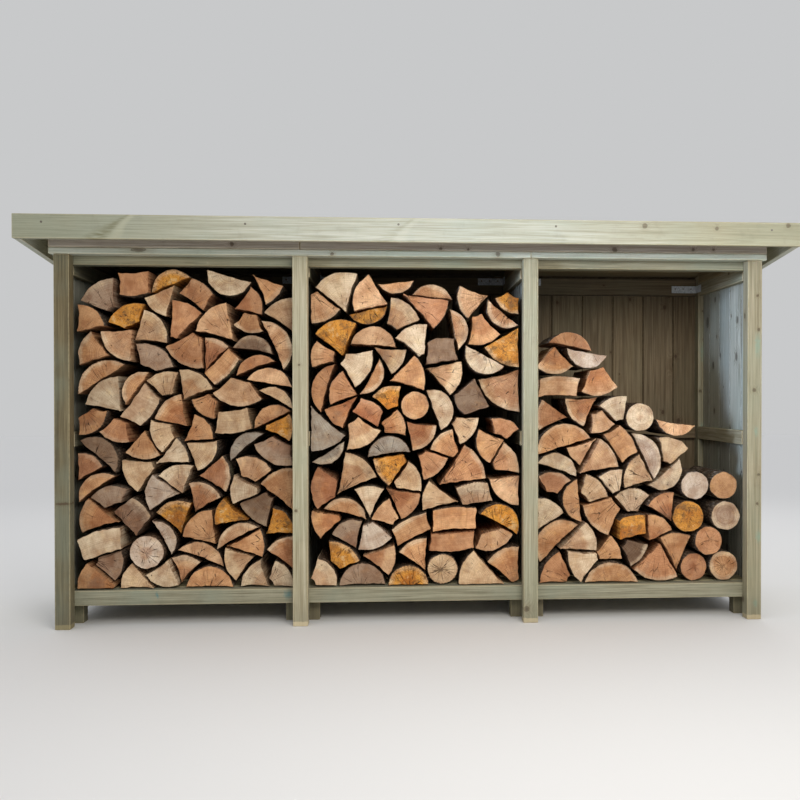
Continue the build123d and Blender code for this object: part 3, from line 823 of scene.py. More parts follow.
class Wood(Enum):
    """Finishes of the store's own timbers."""

    FRAME = TreatedTimber(
        "frame_timber_finish", "bcb59c", "a69e82", "84775a", "9ca28a", "46311f", "d8c6a2",
        patch_share=0.45, knot_share=0.16, knot_size=0.007, foot_share=0.5, stain="8fa996",
        set_knots=(
            Mark(1.0405, 0.9906, 0.0042), Mark(1.044, 0.8867, 0.0046), Mark(1.0315, 0.7024, 0.0056),
            Mark(1.0455, 0.444, 0.0042), Mark(1.041, 0.355, 0.0040), Mark(0.331, 0.0423, 0.0088),
            Mark(-0.3469, 0.7756, 0.0035), Mark(-0.3565, 0.3433, 0.0040),
        ),
        stains=(
            Mark(1.037, 0.5743, 0.024, 0.4), Mark(1.042, 0.84, 0.05, 0.3), Mark(1.046, 0.254, 0.03, 0.4),
            Mark(1.036, 0.05, 0.02, 0.5),
        ),
    )
    # painted shade: a darker copy of the frame timber's colours, for the left post
    LEFT_POST = TreatedTimber(
        "left_post_finish", "877c5e", "706347", "5f5438", "7e8878", "4f3826", "b3a57a",
        knot_share=0.1, knot_size=0.007, foot_share=0.4, set_knots=(Mark(-1.03, 0.3689, 0.0036, 6.0),),
    )
    RAIL = TreatedTimber(
        "rail_timber_finish", "aba78f", "9b977f", "7a735c", "8f9b8a", "4f3826", "b9ae8c", knot_share=0.12,
        stains=(Mark(-0.7716, 0.09, 0.014, 0.55), Mark(-0.384, 0.088, 0.02, 0.9)), stain="468286",
    )
    STRIP = TreatedTimber(
        "strip_timber_finish", "d8dfd5", "c2c8be", "928a6c", "b6c6b8", "4a3423", "c9bf9c", knot_share=0.0,
        set_knots=(
            Mark(-0.812, 1.1115, 0.006, 3.6), Mark(-0.2495, 1.1044, 0.0052), Mark(0.2444, 1.1093, 0.0070),
        ),
    )
    BEARER = TreatedTimber(
        "bearer_timber_finish", "d1cabe", "b4aba0", "7b6d5e", "b2b0a6", "3b2717", "b09c7c",
        patch_share=0.25, spread=0.14, knot_share=0.1,
        set_knots=(
            Mark(-0.5416, 1.1309, 0.0062), Mark(0.073, 1.1235, 0.0044), Mark(0.155, 1.123, 0.0040),
            Mark(0.5985, 1.1259, 0.0070), Mark(0.84, 1.128, 0.0046), Mark(0.9026, 1.1288, 0.0038),
        ),
    )
    FASCIA = FasciaTimber(
        "fascia_timber_finish", "d0d1c3", "c0c1b1", "9a957d", "b9c1b6", "564430", "dccfa8",
        ring_share=0.3, knot_share=0.0,
        set_knots=(Mark(0.6653, 1.1806, 0.0074), Mark(0.88, 1.1758, 0.0052), Mark(1.0952, 1.1874, 0.0066)),
    )
    ROOF = TreatedTimber(
        "roof_timber_finish", "cdcec0", "b9b9a7", "948e74", "b0bab0", "6a4c30", "dccfa8", ring_share=0.3
    )
    ROOF_BOARDS = TreatedTimber(
        "roof_board_finish", "a89877", "8c7957", "5f4b2f", "8f8a6c", "49301c", "bba67c",
        patch_share=0.35, knot_share=0.5,
    )
    ROOF_TOP = TreatedTimber(
        "roof_top_finish", "b0a88e", "9b927a", "75694f", "9a9a85", "49351f", "bba67c",
        patch_share=0.6, knot_share=0.5, spread=0.26,
    )
    SIDE_BOARDS = TreatedTimber(
        "side_board_finish", "cbccc0", "b3b5a8", "7a7462", "b0b9ae", "38302a", "c8bc98", knot_count=10.0,
        knot_size=0.013, knot_share=0.6, spread=0.22, ring_share=0.5, arris="2b241b", arris_share=0.8,
    )
    # painted shade: a dark brown copy of the wall boards' colours, for the inside of the back wall and its
    # battens under the roof
    BACK_BOARDS = TreatedTimber(
        "back_board_finish", "8c7c61", "7a6a50", "553f26", "78745c", "3c2717", "c2ae85",
        patch_share=0.35, knot_count=9.5, knot_size=0.0105, knot_share=0.75, spread=0.3, ring_share=0.3,
        arris="241b11", arris_share=0.7,
    )
    OUTER_BOARDS = TreatedTimber(
        "outer_board_finish", "bdb9a2", "a9a48a", "81765a", "a2a793", "47331f", "c8bc98", knot_count=9.5,
        knot_size=0.0115, knot_share=0.5, spread=0.26, ring_share=0.4, arris="352c1f", arris_share=0.75,
    )
    UNDER = TreatedTimber(
        "under_floor_finish", "8f8768", "787055", "5a4f38", "767a62", "42301c", "a5976e", splash=0.6
    )
    FLOOR = TreatedTimber(
        "floor_timber_finish", "c0ba99", "a79f7b", "7d6c48", "a2aa8c", "54391f", "cfc096",
        patch_share=0.45, splash=0.5,
    )


class Finishes:
    """All finishes of the store, built once."""

    def __init__(self) -> None:
        """Build the shared effects and then the materials."""
        effects = Effects()
        self.wood = {wood: wood.value.build(effects) for wood in Wood}
        self.logs = [finish.build(effects) for finish in (SawnEnd(), CleftFace(), Bark())]
        plate = ZincSteel("angle_plate_finish", "dde2e6", "b9c0c6", "6b4a33", 0.06, 0.4, 0.3)
        nail = ZincSteel("nail_head_finish", "7f7a72", "5d564d", "5a3a26", 0.75, 0.5)
        self.plate, self.nail = plate.build(effects), nail.build(effects)


def stand(name: str, data: bpy.types.ID) -> bpy.types.Object:
    """Add an object to the scene.

    Args:
        name: The object's name.
        data: Its mesh, lamp or camera.

    Returns:
        The object.
    """
    item = bpy.data.objects.new(name, data)
    bpy.context.scene.collection.objects.link(item)
    return item


class Trait(NamedTuple):
    """A value that finishes read at a mesh's points: its type, its key, and what it is if not given."""

    kind: str
    key: str
    blank: float | tuple[float, ...]


class Gather:
    """Collects the parts of one piece and the values that its finishes read."""

    TRAITS: dict[str, Trait] = {
        "place": Trait("FLOAT_VECTOR", "vector", (0.0, 0.0, 0.0)),
        "half": Trait("FLOAT_VECTOR", "vector", (0.0, 0.0, 0.0)),
        "tone": Trait("FLOAT_VECTOR", "vector", (0.0, 0.0, 0.0)),
        "shade": Trait("FLOAT_COLOR", "color", (1.0, 1.0, 1.0, 1.0)),
        "rim": Trait("FLOAT", "value", NO_RIM),
    }

    def __init__(self) -> None:
        """Start empty."""
        self.points: list[Triple] = []
        self.faces: Faces = []
        self.kinds: list[int] = []
        self.values: dict[str, list] = {name: [] for name in self.TRAITS}

    def add(self, points: list[Triple], faces: Faces, kinds: list[int] | None = None, **values: list) -> None:
        """Add one closed part.

        Args:
            points: Its corners.
            faces: Its faces, as corner numbers.
            kinds: A finish number for each face, or nothing where all have the first.
            **values: Lists of traits, one entry a corner, or one entry in all.
        """
        start, count = len(self.points), len(points)
        self.points += points
        self.faces += [[start + i for i in face] for face in faces]
        self.kinds += kinds or [0] * len(faces)
        for name, trait in self.TRAITS.items():
            rows = values.get(name, [trait.blank])
            self.values[name] += rows if len(rows) == count else rows * count

    def build(self, name: str, materials: list[Material], smooth: float | None = None) -> bpy.types.Object:
        """Make the piece.

        Args:
            name: The piece's name.
            materials: Its finishes.
            smooth: Faces closer in angle than this are shaded as one, in degrees.

        Returns:
            The new object, linked to the scene.
        """
        mesh = bpy.data.meshes.new(name)
        mesh.from_pydata(self.points, [], self.faces)
        for material in materials:
            mesh.materials.append(material)
        mesh.polygons.foreach_set("material_index", self.kinds)
        for title, trait in self.TRAITS.items():
            rows = np.asarray(self.values[title], np.float32).ravel()
            mesh.attributes.new(title, trait.kind, "POINT").data.foreach_set(trait.key, rows)
        mesh.update()
        if smooth is not None:
            mesh.polygons.foreach_set("use_smooth", [True] * len(mesh.polygons))
            mesh.set_sharp_from_angle(angle=math.radians(smooth))
        return stand(name, mesh)


def settle(piece: bpy.types.Object, count: int, node: str = "") -> None:
    """Tie a piece to the model and report it.

    Args:
        piece: The piece.
        count: How many parts it has.
        node: The CAD node that it stands for, if any.
    """
    if node:
        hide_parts(node)
    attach(piece, BODY)
    LOG.info("%s: %d parts, %d faces", piece.name, count, len(piece.data.polygons))


def islands(node: str) -> list[Solid]:
    """Take a CAD node apart into its solids, with flat faces in one piece.

    Args:
        node: The node's name.

    Returns:
        One mesh for each solid, in a steady order.
    """
    whole = bmesh.new()
    whole.from_mesh(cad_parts[node].data)
    bmesh.ops.remove_doubles(whole, verts=whole.verts, dist=WELD)
    whole.verts.ensure_lookup_table()
    seen: set[int] = set()
    solids = []
    for first in whole.verts:
        if first.index in seen:
            continue
        seen.add(first.index)
        heap, members = [first], set()
        while heap:
            corner = heap.pop()
            members.add(corner.index)
            for edge in corner.link_edges:
                other = edge.other_vert(corner)
                if other.index not in seen:
                    seen.add(other.index)
                    heap.append(other)
        part = whole.copy()
        bmesh.ops.delete(part, geom=[v for v in part.verts if v.index not in members], context="VERTS")
        bmesh.ops.dissolve_limit(part, angle_limit=FLAT, verts=part.verts[:], edges=part.edges[:])
        solids.append(part)
    whole.free()
    return solids


def tones(rng: random.Random) -> Triple:
    """Three random values that set one timber apart from the next."""
    return rng.random(), rng.random(), rng.random()


def tipped(points: np.ndarray, pitch: float) -> np.ndarray:
    """Turn points about X by an angle in radians."""
    cos, sin = math.cos(pitch), math.sin(pitch)
    return points @ np.array(((1.0, 0.0, 0.0), (0.0, cos, sin), (0.0, -sin, cos)))


def tube(rows: int, sides: int) -> Faces:
    """Join rows of points that run round a part.

    Args:
        rows: How many rows there are.
        sides: How many points each row has.

    Returns:
        Faces with four corners, as point numbers.
    """
    faces = []
    for start in range(0, (rows - 1) * sides, sides):
        for k in range(sides):
            nxt = start + (k + 1) % sides
            faces.append([start + k, nxt, nxt + sides, start + k + sides])
    return faces


class Member(NamedTuple):
    """A CAD node of timbers: its finish and slot, and for boards of the roof their pitch and upper finish."""

    node: str
    wood: Wood
    slot: Slot = Slot.FRAME
    pitch: float = 0.0
    top: Wood | None = None


@dataclass
class EasedTimber:
    """Squared timbers with eased arrises, cut from the solids of CAD nodes."""

    ease: float = 0.0022
    segments: int = 2
    arris_angle: float = math.radians(20.0)
    top_slope: float = 0.3
    members: tuple[Member, ...] = ()

    def level(self, part: Solid, pitch: float) -> tuple[np.ndarray, np.ndarray, np.ndarray]:
        """Draw one timber in by the skin, along its own axes.

        Args:
            part: The timber.
            pitch: How far it lies tilted about X, in radians.

        Returns:
            Its points, and along its width, thickness and length, their places from its middle and its
            half sizes.
        """
        points = tipped(np.array([v.co for v in part.verts], float), pitch)
        low, high = points.min(0), points.max(0)
        middle, half = (low + high) / 2, (high - low) / 2
        short, mid, long = sorted(range(3), key=lambda axis: half[axis])
        slim = 1.0 - SKIN / half
        inside = middle + (points - middle) * slim
        axes = [mid, short, long]
        return tipped(inside, -pitch), (inside - middle)[:, axes], (half * slim)[axes]

    def dress(self, member: Member, finishes: Finishes) -> None:
        """Stand eased timbers in a node's place.

        Args:
            member: The node that they replace, and how they are finished.
            finishes: The materials.
        """
        rng = random.Random(member.node)
        gather = Gather()
        solids = islands(member.node)
        for part in solids:
            sharp = [e for e in part.edges if e.is_manifold and e.calc_face_angle(0.0) > self.arris_angle]
            bmesh.ops.bevel(
                part, geom=sharp, offset=self.ease, offset_type="OFFSET", segments=self.segments, profile=0.5,
                affect="EDGES", clamp_overlap=True,
            )
            part.verts.index_update()
            part.normal_update()
            points, place, half = self.level(part, member.pitch)
            gather.add(
                [tuple(p) for p in points],
                [[v.index for v in face.verts] for face in part.faces],
                [int(member.top is not None and face.normal.z > self.top_slope) for face in part.faces],
                place=[tuple(p) for p in place],
                half=[tuple(half)],
                tone=[tones(rng)],
            )
            part.free()
        woods = [member.wood] if member.top is None else [member.wood, member.top]
        piece = gather.build(f"{member.node}_eased", [finishes.wood[wood] for wood in woods])
        settle(piece, len(solids), member.node)

    def build(self, finishes: Finishes) -> None:
        """Build all members."""
        for member in self.members:
            self.dress(member, finishes)


@dataclass
class FrontFrame(EasedTimber):
    """Posts, rails, cap strip and bearer at the front."""

    members: tuple[Member, ...] = (
        # the left post takes the frame timber darkened as painted shade
        Member("front_post_left", Wood.LEFT_POST),
        Member("front_post_mid_left", Wood.FRAME),
        Member("front_post_mid_right", Wood.FRAME),
        Member("front_post_right", Wood.FRAME),
        Member("front_top_rail", Wood.RAIL),
        Member("post_cap_strip", Wood.STRIP),
        Member("front_bearer", Wood.BEARER, Slot.BEARER),
        Member("front_floor_rail", Wood.RAIL, Slot.FLOOR),
    )


@dataclass
class WallBattens(EasedTimber):
    """Battens and stiles of the walls, and the rafters over them."""

    ease: float = 0.0016
    members: tuple[Member, ...] = (
        Member("left_end_battens", Wood.FRAME),
        Member("left_partition_battens", Wood.FRAME),
        Member("right_end_battens", Wood.FRAME),
        Member("right_partition_battens", Wood.FRAME),
        # the back battens take the back boards' painted-shade finish
        Member("back_top_battens", Wood.BACK_BOARDS),
        Member("back_middle_battens", Wood.BACK_BOARDS),
        Member("back_floor_battens", Wood.BACK_BOARDS),
        Member("rafters", Wood.ROOF_BOARDS),
    )


@dataclass
class Floor(EasedTimber):
    """Slats, bearers and short legs under the firewood."""

    ease: float = 0.0018
    members: tuple[Member, ...] = (
        Member("left_floor_slats", Wood.FLOOR, Slot.FLOOR),
        Member("middle_floor_slats", Wood.FLOOR, Slot.FLOOR),
        Member("right_floor_slats", Wood.FLOOR, Slot.FLOOR),
        Member("floor_bearers", Wood.UNDER, Slot.FLOOR),
        Member("floor_legs", Wood.UNDER, Slot.FLOOR),
    )


@dataclass
class RoofEdge(EasedTimber):
    """Fascia and bargeboards."""

    ease: float = 0.0018
    members: tuple[Member, ...] = (
        Member("fascia", Wood.FASCIA, Slot.ROOF),
        Member("left_bargeboard", Wood.ROOF, Slot.ROOF, ROOF_PITCH),
        Member("right_bargeboard", Wood.ROOF, Slot.ROOF, ROOF_PITCH),
    )


@dataclass
class RoofBoards(EasedTimber):
    """Lapped boards of the roof."""

    ease: float = 0.0008
    members: tuple[Member, ...] = (
        Member("roof_boards", Wood.ROOF_BOARDS, Slot.ROOF, ROOF_PITCH, Wood.ROOF_TOP),
    )


@dataclass
class Walls:
    """The back, the ends and the partitions, of tongued and grooved boards with a V at each joint."""

    cover: float = 0.112
    v_half: float = 0.0034
    v_depth: float = 0.0032
    tongue: float = 0.004
    tongue_share: float = 1 / 3
    uneven: float = 0.0012
    outer_share: float = 0.2
    rows: tuple[float, ...] = (0.0, 0.02, 0.98, 1.0)

    def section(self, cover: float, thick: float) -> list[tuple[float, float]]:
        """Outline of one board seen from its end.

        Args:
            cover: The board's cover.
            thick: Its thickness.

        Returns:
            Corners as (across, through), from the middle of the board.
        """
        a, t, v, tip = cover / 2, thick / 2, self.v_half, thick / 2 * self.tongue_share
        edge, out = t - self.v_depth, a + self.tongue
        near = [(-a, -edge), (-a + v, -t), (a - v, -t), (a, -edge), (a, -tip), (out, -tip)]
        return near + [(out, tip), (a, tip), (a, edge), (a - v, t), (-a + v, t), (-a, edge)]

    def dress(self, node: str, finishes: list[Material], along: int, outward: int = 0) -> list[float]:
        """Stand separate boards in a wall's place.

        Args:
            node: The wall's CAD node.
            finishes: The boards' material inside, and the one outside if there is one; on the back wall the
                inside one carries painted shade.
            along: The axis that the wall runs along, 0 or 1.
            outward: The sign of the side that lies outside, or 0 for a partition.

        Returns:
            Middles of the boards along the wall.
        """
        rng = random.Random(node)
        low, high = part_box(node)
        corners = np.array([v.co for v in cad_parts[node].data.vertices], float)
        depths = np.array([corners[:, 1].min(), corners[:, 1].max()])
        tops = np.array([corners[np.abs(corners[:, 1] - depth) < WELD][:, 2].max() for depth in depths])
        through = 1 - along
        count = max(2, round((high[along] - low[along]) / self.cover))
        cover = (high[along] - low[along]) / count
        thick = high[through] - low[through] - 2 * SKIN
        centres = [low[along] + cover * (i + 0.5) for i in range(count)]
        gather = Gather()
        for centre in centres:
            reach = cover / 2 - SKIN if centre == centres[-1] else cover
            outline = [(min(x, reach), y) for x, y in self.section(cover - SKIN, thick)]
            n = len(outline)
            bottom = low[2] + SKIN + rng.uniform(0.0, self.uneven)
            middle = (tops.max() - bottom) / 2
            points, place = [], []
            for row in self.rows:
                for x, y in outline:
                    at = [0.0, 0.0, 0.0]
                    at[along] = centre + x
                    at[through] = (low[through] + high[through]) / 2 + y
                    top = float(np.interp(at[1], depths, tops)) - SKIN
                    at[2] = bottom + (top - bottom) * row
                    points.append(tuple(at))
                    place.append((x, y, at[2] - (bottom + middle)))
            last = n * (len(self.rows) - 1)
            faces = [list(range(n)), list(range(last + n - 1, last - 1, -1))]
            faces += [[b, a, d, c] for a, b, c, d in tube(len(self.rows), n)]
            if along == 0:
                faces = [face[::-1] for face in faces]
            sides = [sum(place[k][1] for k in face) / len(face) * outward for face in faces]
            kinds = [int(side > thick * self.outer_share) for side in sides]
            half = (cover / 2, thick / 2, middle)
            gather.add(points, faces, kinds, place=place, half=[half], tone=[tones(rng)])
        settle(gather.build(f"{node}_matched", finishes), count, node)
        return centres

    def build(self, finishes: Finishes) -> dict[str, list[float]]:
        """Build all walls.

        Args:
            finishes: The materials.

        Returns:
            Middles of the boards, by node.
        """
        woods = (Wood.BACK_BOARDS, Wood.SIDE_BOARDS, Wood.OUTER_BOARDS)
        back, side, outer = (finishes.wood[wood] for wood in woods)
        # the back wall's inner faces take the painted-shade finish, its outer faces the plain outer boards
        rows = {"back_boards": self.dress("back_boards", [back, outer], 0, 1)}
        for name, sign in SIDES:
            rows[f"{name}_end_boards"] = self.dress(f"{name}_end_boards", [side, outer], 1, sign)
            self.dress(f"{name}_partition_boards", [side], 1)
        return rows


class Run(NamedTuple):
    """A stretch of a log's outline: its points without the last, and whether it is bark."""

    line: list[Vector]
    bark: bool


class Relief(NamedTuple):
    """Noise in a log's surface: its depth, how often it varies across a metre and along it, and its lift."""

    depth: float
    across: float
    along: float
    lift: float = 0.0


@dataclass
class Log:
    """One split log, from its outline, and the relief of its bark, its torn faces and its sawn ends."""

    points: list[Vector]
    bark: list[bool]
    dips: list[float]
    pith: Vector
    seed: Vector
    front: float
    sawn: float
    stop: float
    lean: Pair
    rows: tuple[float, ...] = (0.0, 0.005, 0.02, 0.06, 0.12, 0.21, 0.34, 0.52, 0.75, 0.99, 1.0)
    front_rings: tuple[float, ...] = (0.97, 0.91, 0.78, 0.58, 0.36, 0.16)
    back_rings: tuple[float, ...] = (0.94, 0.5)
    bark_inset: float = 0.0010
    lumps: Relief = Relief(0.0022, 48.0, 22.0, 0.6)
    furrows: Relief = Relief(0.0024, 150.0, 26.0, 0.5)
    cleft_inset: float = 0.0008
    ripples: Relief = Relief(0.0028, 50.0, 6.0, 0.6)
    fibres: Relief = Relief(0.0016, 240.0, 8.0)
    least_inset: float = 0.0002
    chamfer: float = 0.0009
    saw: Relief = Relief(0.0009, 60.0, 0.0)
    rim_step: int = 2

    def __post_init__(self) -> None:
        """Start with no corners, and wrap and close the log."""
        self.corners: list[Triple] = []
        self.place: list[Triple] = []
        self.rim: list[float] = []
        self.faces: Faces = []
        self.kinds: list[int] = []
        self.bark_points = [p for p, flag in zip(self.points, self.bark) if flag][:: self.rim_step]
        self.wrap()
        self.cap(0, self.front_rings, False)
        self.cap((len(self.rows) - 1) * len(self.points), self.back_rings, True)

    def rumple(self, relief: Relief, p: Vector, y: float) -> float:
        """Noise of a relief at a point of the long surface, without its depth."""
        return noise.noise(Vector((p.x * relief.across, y * relief.along, p.y * relief.across)) + self.seed)

    def rough(self, i: int, y: float) -> float:
        """How far the log's rough surface lies inside its outline.

        Args:
            i: The outline's point.
            y: The depth in the store.

        Returns:
            The inset in metres.
        """
        p = self.points[i]
        if self.bark[i] and self.bark[i - 1]:
            lumps = self.lumps.depth * (self.rumple(self.lumps, p, y) + self.lumps.lift)
            furrows = self.furrows.depth * (self.furrows.lift - abs(self.rumple(self.furrows, p, y)))
            return self.bark_inset + lumps + furrows
        ripples = self.ripples.depth * (self.rumple(self.ripples, p, y) + self.ripples.lift)
        fibres = self.fibres.depth * abs(self.rumple(self.fibres, p, y))
        return self.cleft_inset + self.dips[i] + ripples + fibres

    def face_depth(self, p: Vector) -> float:
        """Depth of the sawn face at a point."""
        return self.sawn + self.lean[0] * p.x + self.lean[1] * p.y

    def keep(self, p: Vector, y: float) -> None:
        """Add one corner with the values that the finishes read.

        Args:
            p: Its place across the log.
            y: Its depth in the store.
        """
        self.corners.append((p.x, y, p.y))
        self.place.append((p.x - self.pith.x, p.y - self.pith.y, y - self.front))
        self.rim.append(min(((p - q).length for q in self.bark_points), default=NO_RIM))

    def wrap(self) -> None:
        """Build the long surface from the sawn face to the back."""
        n = len(self.points)
        normals = []
        for i in range(n):
            tangent = self.points[(i + 1) % n] - self.points[i - 1]
            normals.append(Vector((tangent.y, -tangent.x)).normalized())
        for share in self.rows:
            extra = self.chamfer if share in (0.0, 1.0) else 0.0
            for i, p in enumerate(self.points):
                start = self.face_depth(p)
                y = start + (self.stop - start) * share
                self.keep(p - normals[i] * (max(self.least_inset, self.rough(i, y)) + extra), y)
        self.faces += tube(len(self.rows), n)
        kinds = [LogFace.BARK.value if flag else LogFace.CLEFT.value for flag in self.bark]
        self.kinds += kinds * (len(self.rows) - 1)

    def cap(self, outer: int, rings: tuple[float, ...], back: bool) -> None:
        """Close one end with rings of faces.

        Args:
            outer: The first corner of the row at this end.
            rings: Sizes of the rings against the row.
            back: Whether this is the back end.
        """
        n = len(self.points)
        edge = [Vector((x, z)) for x, _, z in self.corners[outer : outer + n]]
        hub = Vector((sum(p.x for p in edge) / n, sum(p.y for p in edge) / n))
        for scale in (*rings, 0.0):
            inner = len(self.corners)
            for corner in edge if scale else edge[:1]:
                p = hub + (corner - hub) * scale
                spot = Vector((p.x * self.saw.across, p.y * self.saw.across, 0.0)) + self.seed
                dent = abs(self.saw.depth * noise.noise(spot))
                self.keep(p, self.stop - dent if back else self.face_depth(p) + dent)
            for i in range(n):
                nxt = (i + 1) % n
                ring = [outer + nxt, outer + i, *([inner + i, inner + nxt] if scale else [inner])]
                self.faces.append(ring[::-1] if back else ring)
            self.kinds += [LogFace.SAWN.value] * n
            outer = inner


@dataclass
class Firewood:
    """Piles of split logs, one log for each solid of the piles."""

    step: float = 0.0052
    sharp: float = 36.0
    smooth: float = 42.0
    arc_steps: int = 8
    tiers: int = 4
    set_back: float = 0.024
    back_gap: float = 0.002
    tilt: float = 0.09
    hollow: float = 0.0045
    blunt: Pair = (0.3, 0.85)
    pith_waver: float = 0.006
    far_pith: tuple[Pair, Pair] = ((-0.09, 0.09), (0.05, 0.1))
    seeds: float = 50.0
    gain: Pair = (0.77, 1.06)
    bays: tuple[tuple[str, float], ...] = (("left", 1.0), ("middle", 1.13), ("right", 1.04))
    palette: tuple[tuple[str, float], ...] = (
        ("dcab7c", 0.17), ("e3ba90", 0.18), ("e2c59e", 0.18), ("e8d3b2", 0.14), ("cf9c72", 0.11),
        ("b39a82", 0.06), ("8f7862", 0.03), ("e0cfba", 0.05), ("aca394", 0.02), ("c8946e", 0.05),
        ("e4a247", 0.07),
    )

    def outline(self, part: Solid) -> tuple[list[Vector], float, float]:
        """Read a log's end outline and its reach from front to back.

        Args:
            part: The log's CAD solid.

        Returns:
            Corners in order, as (x, z), the front depth and the back depth.
        """
        front = min(part.faces, key=lambda f: f.calc_center_median().y)
        depths = [v.co.y for v in part.verts]
        corners = [Vector((v.co.x, v.co.z)) for v in front.verts]
        area = sum(a.x * b.y - b.x * a.y for a, b in zip(corners, corners[1:] + corners[:1]))
        return (corners if area > 0 else corners[::-1]), min(depths), max(depths)

    @staticmethod
    def turn_at(corners: list[Vector], i: int) -> float:
        """How far an outline turns at a corner, in degrees."""
        before, after = corners[i] - corners[i - 1], corners[(i + 1) % len(corners)] - corners[i]
        return math.degrees(before.angle(after, 0.0))

    def resample(self, line: list[Vector]) -> list[Vector]:
        """Space the points of a line evenly.

        Args:
            line: The line's points.

        Returns:
            Points about one step apart, ends included.
        """
        lengths = [(b - a).length for a, b in zip(line, line[1:])]
        places = np.concatenate(([0.0], np.cumsum(lengths)))
        wanted = np.linspace(0.0, places[-1], max(3, round(places[-1] / self.step)) + 1)
        xs = np.interp(wanted, places, [p.x for p in line])
        zs = np.interp(wanted, places, [p.y for p in line])
        return [Vector(spot) for spot in zip(xs, zs)]

    def curve(self, chain: list[Vector], closed: bool) -> list[Vector]:
        """Round a chain of chords into one curve that stays inside them.

        Args:
            chain: The chain's corners.
            closed: Whether the last corner joins the first.

        Returns:
            Points along the curve, ends included.
        """
        line = chain + chain[:2] if closed else chain
        middles = [(a + b) / 2 for a, b in zip(line, line[1:])]
        if not closed:
            middles[0], middles[-1] = line[0], line[-1]
        points = [middles[0]]
        for start, control, stop in zip(middles, line[1:-1], middles[1:]):
            for k in range(1, self.arc_steps + 1):
                t = k / self.arc_steps
                points.append(start * (1 - t) ** 2 + control * (2 * t * (1 - t)) + stop * t * t)
        return self.resample(points)

    def runs(self, corners: list[Vector]) -> list[Run]:
        """Part a log's corners into its torn faces and its stretches of bark.

        Args:
            corners: The CAD outline.

        Returns:
            The runs in order.
        """
        count = len(corners)
        ends = [i for i in range(count) if self.turn_at(corners, i) > self.sharp]
        if not ends:
            return [Run(self.curve(corners, True)[:-1], True)]
        runs = []
        for start, stop in zip(ends, ends[1:] + [ends[0] + count]):
            chain = [corners[i % count] for i in range(start, stop + 1)]
            bark = len(chain) > 2
            runs.append(Run((self.curve(chain, False) if bark else self.resample(chain))[:-1], bark))
        return runs

    def pith(self, runs: list[Run], centre: Vector, rng: random.Random) -> Vector:
        """Find the point that the growth rings run round.

        Args:
            runs: The log's runs.
            centre: The middle of its end.
            rng: The pile's random numbers.

        Returns:
            The pith, which may lie outside the log.
        """
        arcs = [line for line, bark in runs if bark]
        if not arcs:
            return centre + Vector([rng.uniform(*span) for span in self.far_pith])
        arc = max(arcs, key=len)
        a, b, c = arc[0], arc[len(arc) // 3], arc[(2 * len(arc)) // 3]
        twice = 2 * (a.x * (b.y - c.y) + b.x * (c.y - a.y) + c.x * (a.y - b.y))
        if abs(twice) < WELD**2:
            return centre
        aa, bb, cc = a.length_squared, b.length_squared, c.length_squared
        x = (aa * (b.y - c.y) + bb * (c.y - a.y) + cc * (a.y - b.y)) / twice
        z = (aa * (c.x - b.x) + bb * (a.x - c.x) + cc * (b.x - a.x)) / twice
        return Vector([value + rng.uniform(-self.pith_waver, self.pith_waver) for value in (x, z)])

    def make(self, part: Solid, gather: Gather, rng: random.Random, light: float) -> None:
        """Build one log and add it to its pile.

        Args:
            part: The log's CAD solid.
            gather: The piece that it goes into.
            rng: The pile's random numbers.
            light: How light the bay's wood is against the palette.
        """
        corners, front, back = self.outline(part)
        runs = self.runs(corners)
        points, bark, dips, tips = [], [], [], []
        for line, is_bark in runs:
            hollow = 0.0 if is_bark else rng.uniform(0.0, self.hollow)
            tips.append(len(points))
            points += line
            bark += [is_bark] * len(line)
            dips += [hollow * math.sin(math.pi * k / len(line)) for k in range(len(line))]
        n = len(points)
        for tip in tips if len(runs) > 1 else ():
            share = rng.uniform(*self.blunt)
            points[tip] = points[tip].lerp((points[tip - 1] + points[(tip + 1) % n]) / 2, share)
        pith = self.pith(runs, sum(points, Vector((0.0, 0.0))) / n, rng)
        tone = tones(rng)
        seed = Vector([rng.uniform(0.0, self.seeds) for _ in range(3)])
        depth = rng.uniform(0.0, self.set_back)
        lean = (rng.uniform(-self.tilt, self.tilt), rng.uniform(-self.tilt, self.tilt))
        colours, shares = zip(*self.palette)
        gain = rng.uniform(*self.gain) * light
        colour = paint(rng.choices(colours, shares)[0])
        shade = (*(min(1.0, v * gain) for v in colour[:3]), 1.0)
        sawn = front + depth - min(lean[0] * p.x + lean[1] * p.y for p in points)
        log = Log(points, bark, dips, pith, seed, front, sawn, back - self.back_gap, lean)
        traits = {"place": log.place, "tone": [tone], "shade": [shade], "rim": log.rim}
        gather.add(log.corners, log.faces, log.kinds, **traits)

    def build(self, finishes: Finishes) -> None:
        """Build the piles, one piece for each tier of each bay.

        Args:
            finishes: The materials.
        """
        for bay, light in self.bays:
            for tier in range(self.tiers):
                node = f"firewood_{bay}_{tier + 1}"
                rng = random.Random(node)
                gather = Gather()
                solids = islands(node)
                for part in solids:
                    self.make(part, gather, rng, light)
                    part.free()
                piece = gather.build(f"{node}_logs", finishes.logs, self.smooth)
                settle(piece, len(solids), node)


